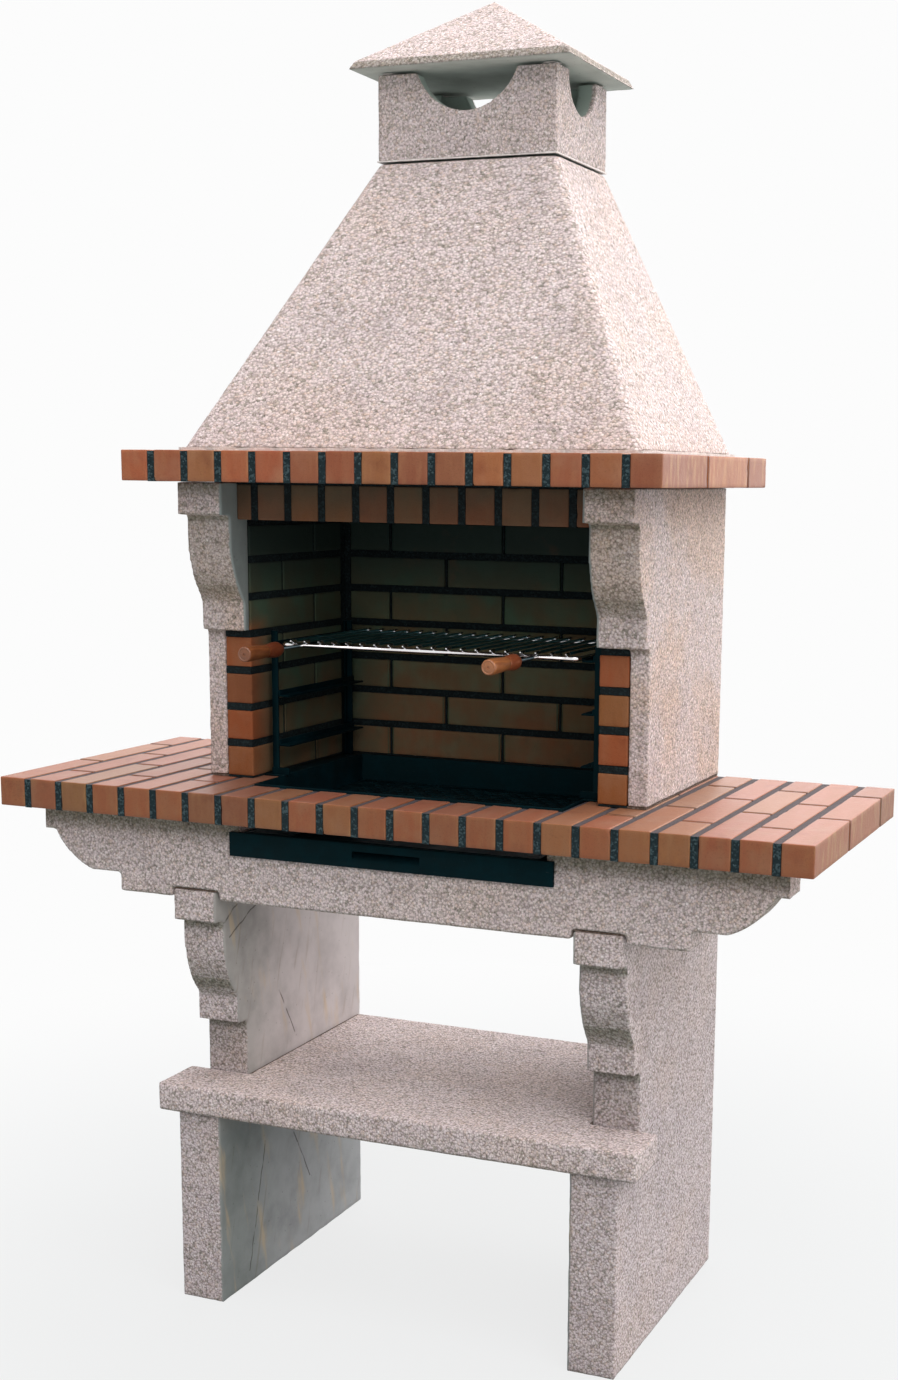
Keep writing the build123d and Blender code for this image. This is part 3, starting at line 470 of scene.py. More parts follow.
def thin_joint_gap(graph):
    """How far a place on a brick is from an end that meets another brick, on the faces beside that end."""
    local, size, low, high = (
        graph.split(graph.attribute(name))
        for name in ("brick_local", "brick_size", "brick_low_end", "brick_high_end")
    )
    normal = graph.normal()
    gap = 1.0
    for axis in range(3):
        aside = (graph.absolute(normal[axis]) > 0.5) * 1.0
        to_low = (local[axis] + 0.5) * size[axis] + (1.0 - low[axis]) + aside
        to_high = (0.5 - local[axis]) * size[axis] + (1.0 - high[axis]) + aside
        gap = graph.both(gap, graph.both(to_low, to_high))
    return gap


def mortar(name, colour_dark, colour_light, size=0.0028, dusty=0.0, rows_from=None):
    """Gritty pointing, dustier where it faces up, and brown inside the brick rows, which start at an X."""
    graph, place = start_material(name)
    tone = graph.split(graph.grains(place, size, "Color"))
    patch = graph.noise(place, 0.02, 3.0)
    grit = graph.step(tone[0] + (patch - 0.5), 0.55, 1.0)
    colour = graph.mix(grit, tuple(colour_dark), tuple(colour_light))
    if dusty:
        colour = graph.mix(graph.step(graph.normal()[2], 0.6, 0.9) * dusty, colour, shade(86, 76, 78))
    if rows_from is not None:
        part = graph.maths("FRACT", (graph.split(place)[0] - rows_from) / ROW)
        colour = graph.mix(part < BRICK / ROW, colour, shade(46, 24, 20))
    height = (1.0 - graph.grains(place, size)) * 0.7 + patch
    return end_material(graph, colour, 0.9, height, 0.0012, Specular_IOR_Level=0.25)


def black_paint(name, looks, dusty=0.0):
    """Heat-proof black paint on steel sheet, with scuffs and a little ash."""
    graph, place = start_material(name)
    cloud = graph.noise(place, 0.05, 4.0, 0.6)
    colour = graph.mix(graph.step(cloud, 0.4, 0.75), tuple(looks.paint_colour), shade(3, 27, 33))
    x, y, z = graph.split(place)
    scuff = graph.patches(graph.join(x * 0.25, y * 0.25, z), 0.004, 0.66, 0.8, 4.0, 0.7)
    colour = graph.mix(scuff * 0.35, colour, shade(92, 98, 98))
    if dusty:
        ash = graph.patches(place, 0.03, 0.45, 0.75, 5.0, 0.65)
        colour = graph.mix(ash * graph.step(graph.normal()[2], 0.5, 0.9) * dusty, colour, shade(40, 62, 66))
    return end_material(graph, colour, 0.42 + cloud * 0.28, graph.noise(place, 0.003, 3.0), 0.0002,
                        Specular_IOR_Level=0.12, Specular_Tint=(0.3, 0.8, 0.85, 1.0))


def bright_wire(name, looks, dimmed, dim_colour):
    """Chromed wire, faintly hazed by heat, and darker in a given colour where a given mask says so."""
    graph, place = start_material(name)
    haze = graph.noise(place, 0.018, 4.0, 0.6)
    colour = graph.mix(graph.step(haze, 0.5, 0.8) * 0.4, tuple(looks.chrome_colour), shade(150, 142, 130))
    dark = dimmed(graph, place)
    colour = graph.mix(dark * 0.94, colour, dim_colour)
    roughness = 0.12 + graph.step(haze, 0.4, 0.8) * 0.18 + dark * 0.2
    return end_material(graph, colour, roughness, graph.noise(place, 0.004), 0.0001, Metallic=1.0)


def turned_wood(name, looks, centre, handle_shade):
    """Lightly varnished wood whose grain runs along the handle, with rings on its ends and a given share of
    painted shade.
    """
    graph, place = start_material(name)
    local = graph.node("ShaderNodeMapping", Vector=place, Location=tuple(-c for c in centre))
    x, y, z = graph.split(local)
    sway = graph.noise(graph.join(x, y * 0.25, z), 0.02, 2.0) - 0.5
    radius = ((x + 0.006) ** 2.0 + (z - 0.004) ** 2.0) ** 0.5 + sway * 0.004
    ring = graph.maths("SINE", radius * 2600.0) * 0.5 + 0.5
    fibre = graph.noise(graph.join(x, y * 0.05, z), 0.0011, 3.0, 0.6)
    colour = graph.mix(ring * 0.55, tuple(looks.wood_colour), tuple(looks.wood_dark))
    colour = graph.mix(graph.step(fibre, 0.45, 0.75) * 0.5, colour, tuple(looks.wood_dark))
    colour = graph.multiply(graph.patches(local, 0.025, 0.5, 0.75) * 0.3, colour, shade(196, 150, 120))
    colour = graph.mix(graph.step(y, -0.056, -0.04) * 0.7, colour, shade(128, 58, 34))
    # Painted shade: the handle is darkened by the given share.
    colour = graph.multiply(handle_shade, colour, shade(190, 176, 164))
    return end_material(graph, colour, 0.36 + fibre * 0.14, fibre * 0.6 + ring * 0.4, 0.00018,
                        Coat_Weight=0.35, Coat_Roughness=0.25)


# Geometry Nodes


def geometry_graph(name, *numbers):
    """A geometry tree that takes named numbers and a material; gives its graph and its inputs as wires."""
    tree = bpy.data.node_groups.new(name, "GeometryNodeTree")
    for label in ("Geometry", "Material", *numbers):
        kind = "Int" if label.endswith("steps") else "Float" if label in numbers else label
        tree.interface.new_socket(label, in_out="INPUT", socket_type="NodeSocket" + kind)
    tree.interface.new_socket("Geometry", in_out="OUTPUT", socket_type="NodeSocketGeometry")
    graph = Graph(tree)
    source = graph.node("NodeGroupInput").socket.node
    return graph, {s.name: Wire(graph, s) for s in source.outputs if s.name}


def end_geometry(graph, geometry, material):
    """Ends a geometry tree with smooth, real meshes and their material."""
    soft = graph.node("GeometryNodeSetShadeSmooth", Geometry=geometry)
    solid = graph.node("GeometryNodeRealizeInstances", Geometry=soft)
    coated = graph.node("GeometryNodeSetMaterial", Geometry=solid, Material=material)
    graph.node("NodeGroupOutput", Geometry=coated)


def weathered_tree():
    """Wears the edges of a finely divided piece and makes its faces slightly uneven, never outwards."""
    graph, given = geometry_graph("weathered surface", "Edge wear", "Wear size", "Unevenness",
                                  "Uneven size", "Rounding steps")
    place = graph.node("GeometryNodeInputPosition")
    normal = graph.node("GeometryNodeInputNormal")
    rounded = graph.node("GeometryNodeBlurAttribute", {"data_type": "FLOAT_VECTOR"}, Value=place,
                         Iterations=given["Rounding steps"])
    patch = graph.noise(place, given["Wear size"], 3.0)
    wear = graph.step(patch, 0.35, 0.7, 0.35, 1.0) * given["Edge wear"]
    dent = graph.noise(place + 11.0, given["Uneven size"], 3.0)
    shift = (rounded - place) * wear - normal * (dent * given["Unevenness"])
    moved = graph.node("GeometryNodeSetPosition", Geometry=given["Geometry"], Offset=shift)
    end_geometry(graph, moved, given["Material"])


def bricks_tree():
    """Puts a brick with rounded, chipped edges at each point; the points hold sizes, turns and tones."""
    graph, given = geometry_graph("laid bricks", "Edge radius", "Chip size", "Unevenness")

    def held(name, kind="FLOAT_VECTOR"):
        return graph.node("GeometryNodeInputNamedAttribute", {"data_type": kind}, Name=name)

    cube = graph.node("GeometryNodeMeshCube", Size=1.0, Vertices_X=13, Vertices_Y=19, Vertices_Z=9)
    place = graph.node("GeometryNodeInputPosition")
    dense = graph.maths("SINE", place * math.pi, kind="VectorMath") * 0.5
    unit = graph.node("GeometryNodeSetPosition", Geometry=cube, Position=dense)
    unit = graph.node("GeometryNodeStoreNamedAttribute", {"data_type": "FLOAT_VECTOR", "domain": "POINT"},
                      Geometry=unit, Name="brick_local", Value=place)
    turn = graph.node("FunctionNodeEulerToRotation", Euler=held("brick_turn"))
    laid = graph.node("GeometryNodeInstanceOnPoints", Points=given["Geometry"], Instance=unit,
                      Scale=held("brick_size"), Rotation=turn)
    laid = graph.node("GeometryNodeRealizeInstances", Geometry=laid)
    own = place + held("brick_tone", "FLOAT") * 5.0
    chip = graph.patches(own, CHIP_SIZE, 0.58, 0.78, 2.0)
    radius = given["Edge radius"] + chip * given["Chip size"]
    size = held("brick_size")
    spot = held("brick_local") * size
    core_high = size * 0.5 - radius
    low = graph.maths("MAXIMUM", spot, core_high * -1.0, kind="VectorMath")
    core = graph.maths("MINIMUM", low, core_high, kind="VectorMath")
    out = graph.maths("NORMALIZE", spot - core, kind="VectorMath")
    shift = core + out * (radius - graph.noise(own, DENT_SIZE) * given["Unevenness"]) - spot
    outside = graph.length(spot - core) > MERGED * 10
    worn = graph.node("GeometryNodeSetPosition", Geometry=laid, Selection=outside, Offset=shift)
    end_geometry(graph, worn, given["Material"])


def rods_tree():
    """Lays a round rod with domed ends along each edge of a wire mesh, each a touch out of line."""
    graph, given = geometry_graph("grill rods", "Radius", "Bend")
    line = graph.node("GeometryNodeMeshToCurve", Mesh=given["Geometry"])
    line = graph.node("GeometryNodeResampleCurve", Curve=line, Count=41)
    along = graph.node("GeometryNodeSplineParameter")
    sway = graph.noise(graph.node("GeometryNodeInputPosition"), SWAY_SIZE, 1.0, out="Color")
    ends = graph.step(graph.absolute(along - 0.5), 0.5, 0.42)
    line = graph.node("GeometryNodeSetPosition", Geometry=line, Offset=(sway - 0.5) * (given["Bend"] * ends))
    tip = 1.0 - graph.step(graph.absolute(along * 2.0 - 1.0), 0.985, 1.0) * 0.55
    line = graph.node("GeometryNodeSetCurveRadius", Curve=line, Radius=tip)
    ring = graph.node("GeometryNodeCurvePrimitiveCircle", Resolution=14, Radius=given["Radius"])
    tube = graph.node("GeometryNodeCurveToMesh", Curve=line, Profile_Curve=ring, Scale=tip, Fill_Caps=True)
    end_geometry(graph, tube, given["Material"])


def apply_tree(piece, name, values):
    """Adds a geometry tree to a piece and sets its inputs by their identifiers."""
    tree = bpy.data.node_groups[name]
    modifier = piece.modifiers.new(tree.name, "NODES")
    modifier.node_group = tree
    for item in tree.interface.items_tree:
        if item.item_type == "SOCKET" and item.in_out == "INPUT" and item.name in values:
            modifier[item.identifier] = values[item.name]


def settle(piece, material=None):
    """Turns what a piece's modifiers make into its own plain mesh."""
    seen = piece.evaluated_get(bpy.context.evaluated_depsgraph_get())
    mesh = bpy.data.meshes.new_from_object(seen)
    piece.modifiers.clear()
    piece.data = mesh
    mesh.name = piece.name
    coat = material or next(m for m in mesh.materials if m is not None)
    dress(mesh, coat)
    mesh.polygons.foreach_set("material_index", [0] * len(mesh.polygons))


def dress(mesh, material):
    """Gives a mesh one material."""
    mesh.materials.clear()
    mesh.materials.append(material)


# Pieces


def new_piece(name, mesh):
    """A new object at the origin, in the scene."""
    piece = bpy.data.objects.new(name, mesh)
    bpy.context.scene.collection.objects.link(piece)
    return piece


def put(piece, slot, *nodes):
    """Lets a finished piece ride on the body of its CAD nodes, or on the root, and stand for them."""
    body = frame["nodes"][nodes[0]]["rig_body"] if nodes else "root"
    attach(piece, body)
    if nodes:
        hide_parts(*nodes)


def finish_mesh(name, shape):
    """A mesh of a shape that is ready."""
    mesh = bpy.data.meshes.new(name)
    shape.to_mesh(mesh)
    shape.free()
    return mesh


def cad_shape(node):
    """A CAD node's shape with its loose triangles joined."""
    shape = bmesh.new()
    shape.from_mesh(frame["nodes"][node].data)
    bmesh.ops.remove_doubles(shape, verts=shape.verts, dist=MERGED)
    return shape


def cad_mesh(node):
    """A mesh in the shape of a CAD node."""
    return finish_mesh(node + "_shape", cad_shape(node))


def smooth_faces(mesh, sharp):
    """Shades a mesh smoothly, except over edges that turn by more than so many degrees."""
    mesh.polygons.foreach_set("use_smooth", [True] * len(mesh.polygons))
    mesh.set_sharp_from_angle(angle=math.radians(sharp))


def plain_piece(name, mesh, sharp, material, slot, *nodes):
    """A piece whose mesh is ready but for its shading and its material."""
    smooth_faces(mesh, sharp)
    dress(mesh, material)
    put(new_piece(name, mesh), slot, *nodes)


def stone_piece(name, node, material, looks, cell=0.004, steps=2, wear=1.0):
    """A stone piece in the shape of a CAD node, finely divided and weathered."""
    piece = new_piece(name, cad_mesh(node))
    remesh = piece.modifiers.new("divide", "REMESH")
    remesh.mode = "VOXEL"
    remesh.voxel_size = cell
    apply_tree(piece, "weathered surface", {
        "Edge wear": looks.edge_wear * wear, "Wear size": 0.028, "Rounding steps": steps,
        "Unevenness": looks.unevenness, "Uneven size": 0.03, "Material": material,
    })
    settle(piece)
    put(piece, "cast_stone", node)


def sheet_piece(name, node, material, edge=0.0005):
    """A sheet-metal piece in the shape of a CAD node, with softened edges."""
    piece = new_piece(name, cad_mesh(node))
    bevel = piece.modifiers.new("edges", "BEVEL")
    bevel.width = edge
    bevel.segments = 2
    bevel.limit_method = "ANGLE"
    bevel.angle_limit = math.radians(35)
    bevel.use_clamp_overlap = True
    settle(piece, material)
    smooth_faces(piece.data, 50)
    put(piece, "black_sheet", node)


def solid_boxes(node):
    """The lowest and highest corner of each separate solid in a CAD node."""
    shape = cad_shape(node)
    boxes, seen = [], set()
    for first in shape.verts:
        if first in seen:
            continue
        group, waiting = [], [first]
        seen.add(first)
        while waiting:
            vertex = waiting.pop()
            group.append(vertex.co)
            for other in {v for link in vertex.link_edges for v in link.verts} - seen:
                seen.add(other)
                waiting.append(other)
        places = np.array(group)
        boxes.append((places.min(0), places.max(0)))
    shape.free()
    return sorted(boxes, key=lambda b: tuple(np.round(b[0], 4)))


def meets(boxes, low, high, axis, side):
    """Whether another brick lies across a thin joint from one end of a brick."""
    spot = (low + high) / 2
    spot[axis] = high[axis] + BESIDE if side > 0 else low[axis] - BESIDE
    return any((other_low < spot).all() and (spot < other_high).all() for other_low, other_high in boxes)


def brick_piece(name, node, material, slot, looks, seed):
    """The bricks of one CAD node, each with its own size, tone and small tilt."""
    draw = random.Random(seed)
    boxes = solid_boxes(node)
    mesh = bpy.data.meshes.new(name)
    mesh.from_pydata([tuple((low + high) / 2) for low, high in boxes], [], [])
    sizes, turns, tones, low_ends, high_ends = [], [], [], [], []
    for low, high in boxes:
        spans = [float(h - l) for l, h in zip(low, high)]
        axis = spans.index(max(spans))
        for ends, side in ((low_ends, -1), (high_ends, 1)):
            ends += [float(a == axis and meets(boxes, low, high, a, side)) for a in range(3)]
        trims = [draw.uniform(0.0002, 0.0008) for _ in spans]
        trims[axis] += THIN_JOINT
        sizes += [span - trim for span, trim in zip(spans, trims)]
        turns += [draw.uniform(-looks.brick_tilt, looks.brick_tilt) for _ in range(3)]
        tones.append(draw.random())
    for label, values in (("brick_size", sizes), ("brick_turn", turns), ("brick_low_end", low_ends),
                          ("brick_high_end", high_ends)):
        mesh.attributes.new(label, "FLOAT_VECTOR", "POINT").data.foreach_set("vector", values)
    mesh.attributes.new("brick_tone", "FLOAT", "POINT").data.foreach_set("value", tones)
    piece = new_piece(name, mesh)
    apply_tree(piece, "laid bricks", {
        "Edge radius": looks.brick_edge, "Chip size": looks.brick_chip,
        "Unevenness": 0.0005, "Material": material,
    })
    settle(piece)
    put(piece, slot, node)


def lofted_mesh(name, rows, closed=False):
    """A mesh of rows of points, each joined to the next; the ends meet if it is closed, or have caps."""
    shape = bmesh.new()
    rings = [[shape.verts.new(point) for point in row] for row in rows]
    for here, there in zip(rings, rings[1:] + rings[:closed]):
        for step in range(len(here)):
            after = (step + 1) % len(here)
            shape.faces.new((here[step], here[after], there[after], there[step]))
    if not closed:
        shape.faces.new(rings[0])
        shape.faces.new(rings[-1])
    bmesh.ops.remove_doubles(shape, verts=shape.verts, dist=MERGED)
    bmesh.ops.recalc_face_normals(shape, faces=shape.faces)
    return finish_mesh(name, shape)


def mortar_bead(name, half, front, back, foot, height, reach, seed, material, node, closed=True):
    """A hand-smeared bead of mortar round a rectangle in plan, open at the back where it isn't closed."""
    corners = [Vector(corner) for corner in ((half, back), (half, front), (-half, front), (-half, back))]
    path = []
    for start, end in zip(corners, corners[1:] + corners[:closed]):
        steps = max(int((end - start).length / BEAD_STEP), 2)
        path += [start.lerp(end, step / steps) for step in range(steps)]
    if not closed:
        path.append(corners[-1])
    rows = []
    for index, spot in enumerate(path):
        before = path[index - 1] if closed or index else spot
        after = path[(index + 1) % len(path)] if closed or spot is not path[-1] else spot
        run = (after - before).normalized()
        outward = Vector((run.y, -run.x))
        wave, bumps, lumps = (
            noise.noise(Vector((spot.x * often, spot.y * often, seed + shift)))
            for often, shift in ((14, 0), (45, 3), (30, 7))
        )
        wide = min(max(reach * (0.55 + 0.9 * wave ** 2 + 0.45 * bumps), reach * 0.2), reach)
        tall = min(height * (0.8 + 0.35 * lumps), height)
        turns = [ring / (BEAD_RINGS - 1) * math.pi / 2 for ring in range(BEAD_RINGS)]
        section = [(wide * math.cos(turn), tall * math.sin(turn) ** 0.8) for turn in turns]
        section += [(-reach * 0.6, tall), (-reach * 0.6, 0.0)]
        rows.append([(spot.x + outward.x * out, spot.y + outward.y * out, foot + up) for out, up in section])
    plain_piece(name, lofted_mesh(name, rows, closed), 60, material, "white_mortar", node)


def turned_mesh(name, centre, profile, sides=56):
    """A closed turning about an axis along Y: profile holds (distance along -Y, radius)."""
    angles = [2 * math.pi * side / sides for side in range(sides)]
    x, y, z = centre
    return lofted_mesh(name, [
        [(x + radius * math.cos(angle), y - along, z + radius * math.sin(angle)) for angle in angles]
        for along, radius in profile
    ])


# What a user may change


def number_setting(label, about, value, kind=bpy.props.FloatProperty, **more):
    return kind(name=label, description=about, default=value, min=0.0, **more)


def colour_setting(label, about, value):
    kind = bpy.props.FloatVectorProperty
    return number_setting(label, about, value, kind, subtype="COLOR", size=3, max=1.0)


def length_setting(label, about, value):
    return number_setting(label, about, value, subtype="DISTANCE", unit="LENGTH", precision=4)


class StoneLooks(bpy.types.PropertyGroup):
    """Sizes and colours of the cast stone."""

    colour: colour_setting("Stone", "Main colour of the grit", shade(236, 222, 223))
    skin: colour_setting("Skin", "Smooth inner faces of the legs", shade(204, 196, 195))
    grain_size: length_setting("Grain", "Width of the larger grains", 0.0038)
    grain_relief: length_setting("Relief", "Height of the grains", 0.0012)
    edge_wear: number_setting("Edge wear", "How far edges are worn, 0 to 1", 0.9, max=1.0)
    unevenness: length_setting("Unevenness", "Depth of the dents in a face", 0.0014)


class BrickLooks(bpy.types.PropertyGroup):
    """Sizes and colours of the bricks and the mortar."""

    brick_colour: colour_setting("Brick", "Main colour of the fired clay", shade(160, 82, 49))
    brick_edge: length_setting("Edge radius", "Rounding of a brick's edges", 0.0018)
    brick_chip: length_setting("Chips", "Size of the chips along the edges", 0.0035)
    brick_tilt: number_setting("Tilt", "Largest turn of a brick out of true", 0.0016,
                               subtype="ANGLE", unit="ROTATION")
    joint_colour: colour_setting("Dark joint", "Dark mortar", shade(22, 38, 42))
    joint_speck: colour_setting("Joint grit", "Grains in the dark mortar", shade(66, 84, 88))
    pointing_colour: colour_setting("Pale joint", "Pale mortar under the hood", shade(232, 224, 220))


class FittingLooks(bpy.types.PropertyGroup):
    """Colours of the metal and the wood."""

    paint_colour: colour_setting("Paint", "Black heat-proof paint", shade(2, 14, 19))
    chrome_colour: colour_setting("Chrome", "Chromed wire", shade(236, 236, 238))
    wood_colour: colour_setting("Wood", "Light part of the grain", shade(168, 107, 62))
    wood_dark: colour_setting("Wood grain", "Dark part of the grain", shade(118, 66, 36))
    rod_radius: length_setting("Rod", "Radius of a grill rod", 0.0025)


class StageLooks(bpy.types.PropertyGroup):
    """Floor and lamps."""

    floor_colour: colour_setting("Floor", "Colour of the floor", shade(150, 157, 158))
    white: colour_setting("Backdrop", "Colour behind the barbecue", shade(252, 252, 252))
    lamp_colour: colour_setting("Lamps", "Colour of the lamps", (1.0, 0.96, 0.955))
    top_light: number_setting("Top lamp", "Strength of the soft lamp overhead", 2.22)
    side_light: number_setting("Side lamp", "Strength of the soft lamp at the front right", 2.05)
    front_light: number_setting("Front lamp", "Strength of the low lamp in front", 0.48)
    rear_light: number_setting("Rear lamp", "Strength of the wide, low lamp behind", 4.6)
    sky: number_setting("Sky", "Strength of the even light", 0.03)


# What makes the pieces


class LegsOperator(bpy.types.Operator):
    """Make the two leg slabs, blasted outside and smooth inside"""

    bl_idname = "barbecue.legs"
    bl_label = "Legs"

    def execute(self, context):
        looks = context.scene.barbecue_stone
        foot = LEG_TOP - CORBEL_HIGH
        # Painted shade and olive stains below the corbel head, at the bottom of its curve and under the foot.
        shade_and_stain_bands = ((LEG_TOP - HEAD_HIGH, 0.024, 0.8), (foot + FOOT_HIGH + 0.034, 0.036, 0.8),
                  (foot, 0.026, 0.8), (foot, 0.14, 0.22))
        material = cast_stone("leg stone", looks, inner_skin(LEG_INNER), looks.skin, veins=True,
                              shade_and_stain_bands=shade_and_stain_bands, darker_below=LEG_TOP, pitted=0.8)
        stone_piece("left_leg", "leg_left", material, looks)
        stone_piece("right_leg", "leg_right", material, looks)
        return {"FINISHED"}


class ShelfOperator(bpy.types.Operator):
    """Make the storage shelf between the legs"""

    bl_idname = "barbecue.shelf"
    bl_label = "Storage shelf"

    def execute(self, context):
        looks = context.scene.barbecue_stone
        material = cast_stone("shelf stone", looks, darker_below=SHELF_TOP + 0.04, pitted=0.8)
        stone_piece("shelf", "storage_shelf", material, looks, cell=0.0042, wear=0.5)
        return {"FINISHED"}


class BeamOperator(bpy.types.Operator):
    """Make the shaped beam that carries the worktop's front"""

    bl_idname = "barbecue.beam"
    bl_label = "Front beam"

    def execute(self, context):
        looks = context.scene.barbecue_stone
        # Painted shade along the top of the beam, under the worktop.
        shade_and_stain_bands = ((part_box("front_beam")[1].z, 0.05, 0.85),)
        material = cast_stone("beam stone", looks, shade_and_stain_bands=shade_and_stain_bands, pitted=0.72)
        stone_piece("beam", "front_beam", material, looks, cell=0.0036)
        return {"FINISHED"}


class FireboxWallsOperator(bpy.types.Operator):
    """Make the side walls with their corbels, the back wall and the mantel's core"""

    bl_idname = "barbecue.firebox_walls"
    bl_label = "Firebox walls"

    def execute(self, context):
        looks = context.scene.barbecue_stone
        head, foot = MANTEL_UNDER - HEAD_HIGH, MANTEL_UNDER - CORBEL_HIGH + FOOT_HIGH
        # Painted shade and olive stains under the mantel, under the corbel heads and at the bottom of their
        # curves.
        shade_and_stain_bands = ((MANTEL_UNDER, 0.03, 0.7), (head, 0.014, 0.8), (foot + 0.028, 0.03, 0.7), (head, 0.24, 0.3))
        material = cast_stone("wall stone", looks, inner_skin(WALL_INNER), shade(150, 160, 158),
                              shade_and_stain_bands=shade_and_stain_bands, pitted=0.67, warmth=0.9)
        plain = bpy.data.materials["shelf stone"]
        stone_piece("left_wall", "wall_left", material, looks)
        stone_piece("right_wall", "wall_right", material, looks)
        stone_piece("rear_wall", "back_wall", plain, looks, cell=0.008)
        stone_piece("mantel_slab", "mantel_core", plain, looks, cell=0.008)
        return {"FINISHED"}


class HoodOperator(bpy.types.Operator):
    """Make the hollow hood and the pale mortar smeared round its foot"""

    bl_idname = "barbecue.hood"
    bl_label = "Hood"

    def execute(self, context):
        looks = context.scene.barbecue_stone
        material = cast_stone("hood stone", looks, stretch=1.4)
        stone_piece("smoke_hood", "hood", material, looks, cell=0.0052)
        pointing = context.scene.barbecue_brick.pointing_colour
        pale = mortar("pale mortar", pointing, shade(250, 246, 242), 0.004)
        mortar_bead("hood_pointing", HOOD_HIGH.x, HOOD_LOW.y, HOOD_HIGH.y - MM, MANTEL_TOP,
                    0.0065, 0.007, 2.0, pale, "hood_bed", closed=False)
        return {"FINISHED"}


class ChimneyOperator(bpy.types.Operator):
    """Make the chimney collar with its smoke notches, its joint, the mortar dabs and the cap"""

    bl_idname = "barbecue.chimney"
    bl_label = "Chimney"

    def execute(self, context):
        looks = context.scene.barbecue_stone
        middle = (COLLAR_LOW.y + COLLAR_HIGH.y) / 2
        deep = (COLLAR_HIGH.y - COLLAR_LOW.y) / 2

        def notch_face(graph, x, y, z, ragged):
            in_width = graph.step(graph.absolute(x) + ragged, COLLAR_HIGH.x - 0.005, COLLAR_HIGH.x - 0.010)
            in_depth = graph.step(graph.absolute(y - middle) + ragged, deep - 0.005, deep - 0.010)
            return graph.both(in_width, in_depth)

        def under_face(graph, x, y, z, ragged):
            return graph.step(z + ragged * 0.3, CAP_LOW.z + 0.003, CAP_LOW.z + 0.001)

        collar = cast_stone("collar stone", looks, notch_face, shade(176, 190, 182))
        stone_piece("collar", "chimney_collar", collar, looks, cell=0.003)
        # Painted shade on the eave strip round the cap.
        cap = cast_stone("cap stone", looks, under_face, shade(194, 200, 192),
                         shade_and_stain_bands=((CAP_LOW.z + 0.0155, 0.03, 0.6),), all_round=True, warmth=0.1)
        stone_piece("cap", "chimney_cap", cap, looks, cell=0.0032, steps=1, wear=0.5)
        pale = bpy.data.materials["pale mortar"]
        mortar_bead("collar_joint", COLLAR_HIGH.x - MM, COLLAR_LOW.y + MM, COLLAR_HIGH.y - MM,
                    COLLAR_LOW.z - 0.0014, 0.0028, 0.003, 5.0, pale, "collar_bed")
        for index, (low, high) in enumerate(solid_boxes("cap_dabs")):
            self.dab("cap_dab_%d" % (index + 1), Vector(low), Vector(high), index, pale)
        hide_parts("cap_dabs")
        return {"FINISHED"}

    def dab(self, name, low, high, seed, material):
        """One squeezed lump of mortar."""
        shape = bmesh.new()
        bmesh.ops.create_icosphere(shape, subdivisions=4, radius=1.0)
        middle, half = (low + high) / 2, (high - low) / 2
        for vertex in shape.verts:
            way = vertex.co.normalized()
            lump = 1 + 0.28 * noise.noise(way * 2.2 + Vector((seed * 9.0, 0, 0)))
            flat = max(min(way.z * 1.6, 1.0), -1.0)
            vertex.co = middle + Vector((way.x * half.x * lump, way.y * half.y * lump, flat * half.z))
        plain_piece(name, finish_mesh(name, shape), 180, material, "white_mortar")


class BricksOperator(bpy.types.Operator):
    """Lay the bricks of the worktop, the firebox lining, the lintel and the mantel"""

    bl_idname = "barbecue.bricks"
    bl_label = "Bricks"

    def execute(self, context):
        looks = context.scene.barbecue_brick
        clay = fired_brick("brick", looks)
        # Worktop bricks with painted shade on their fronts and a painted sheen on their tops.
        shaded_worktop_clay = fired_brick("worktop brick", looks, upright_shade=shade(216, 228, 220), top_sheen=0.072)
        soot_shade_clay = fired_brick("lining brick", looks, lining_soot_and_shade)
        dimmed = fired_brick("lintel brick", looks, lintel_soot_and_shade)
        brick_piece("worktop", "worktop_bricks", shaded_worktop_clay, "brick", looks, 11)
        brick_piece("mantel", "mantel_bricks", clay, "brick", looks, 12)
        brick_piece("lintel", "lintel_bricks", dimmed, "brick", looks, 13)
        for seed, side in enumerate(("left", "right", "back"), 14):
            brick_piece(side + "_lining", "lining_bricks_" + side, soot_shade_clay, "lining_brick", looks, seed)
        return {"FINISHED"}


class JointsOperator(bpy.types.Operator):
    """Give the mortar joints their finish"""

    bl_idname = "barbecue.joints"
    bl_label = "Mortar joints"

    def execute(self, context):
        looks = context.scene.barbecue_brick
        grit = (looks.joint_colour, looks.joint_speck)
        finishes = {
            mortar("dark mortar", *grit, rows_from=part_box("mantel_bricks")[0].x): ("mantel_mortar",),
            mortar("worktop mortar", *grit, dusty=0.8, rows_from=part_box("worktop_bricks")[0].x):
                ("worktop_mortar",),
            mortar("shelf mortar", shade(98, 84, 74), shade(136, 122, 112)):
                ("shelf_joints", "beam_bedding", "wall_bed"),
            mortar("lining mortar", shade(10, 20, 22), shade(30, 44, 46)):
                ("lining_mortar_left", "lining_mortar_right", "lining_mortar_back", "lintel_mortar"),
        }
        for material, nodes in finishes.items():
            for node in nodes:
                dress(frame["nodes"][node].data, material)
        return {"FINISHED"}


class TrayOperator(bpy.types.Operator):
    """Make the charcoal tray and the fire grate"""

    bl_idname = "barbecue.tray"
    bl_label = "Tray and grate"

    def execute(self, context):
        paint = black_paint("ashy paint", context.scene.barbecue_fittings, dusty=0.5)
        sheet_piece("tray", "charcoal_tray", paint, 0.0007)
        sheet_piece("grate", "fire_grate", paint, 0.0006)
        return {"FINISHED"}


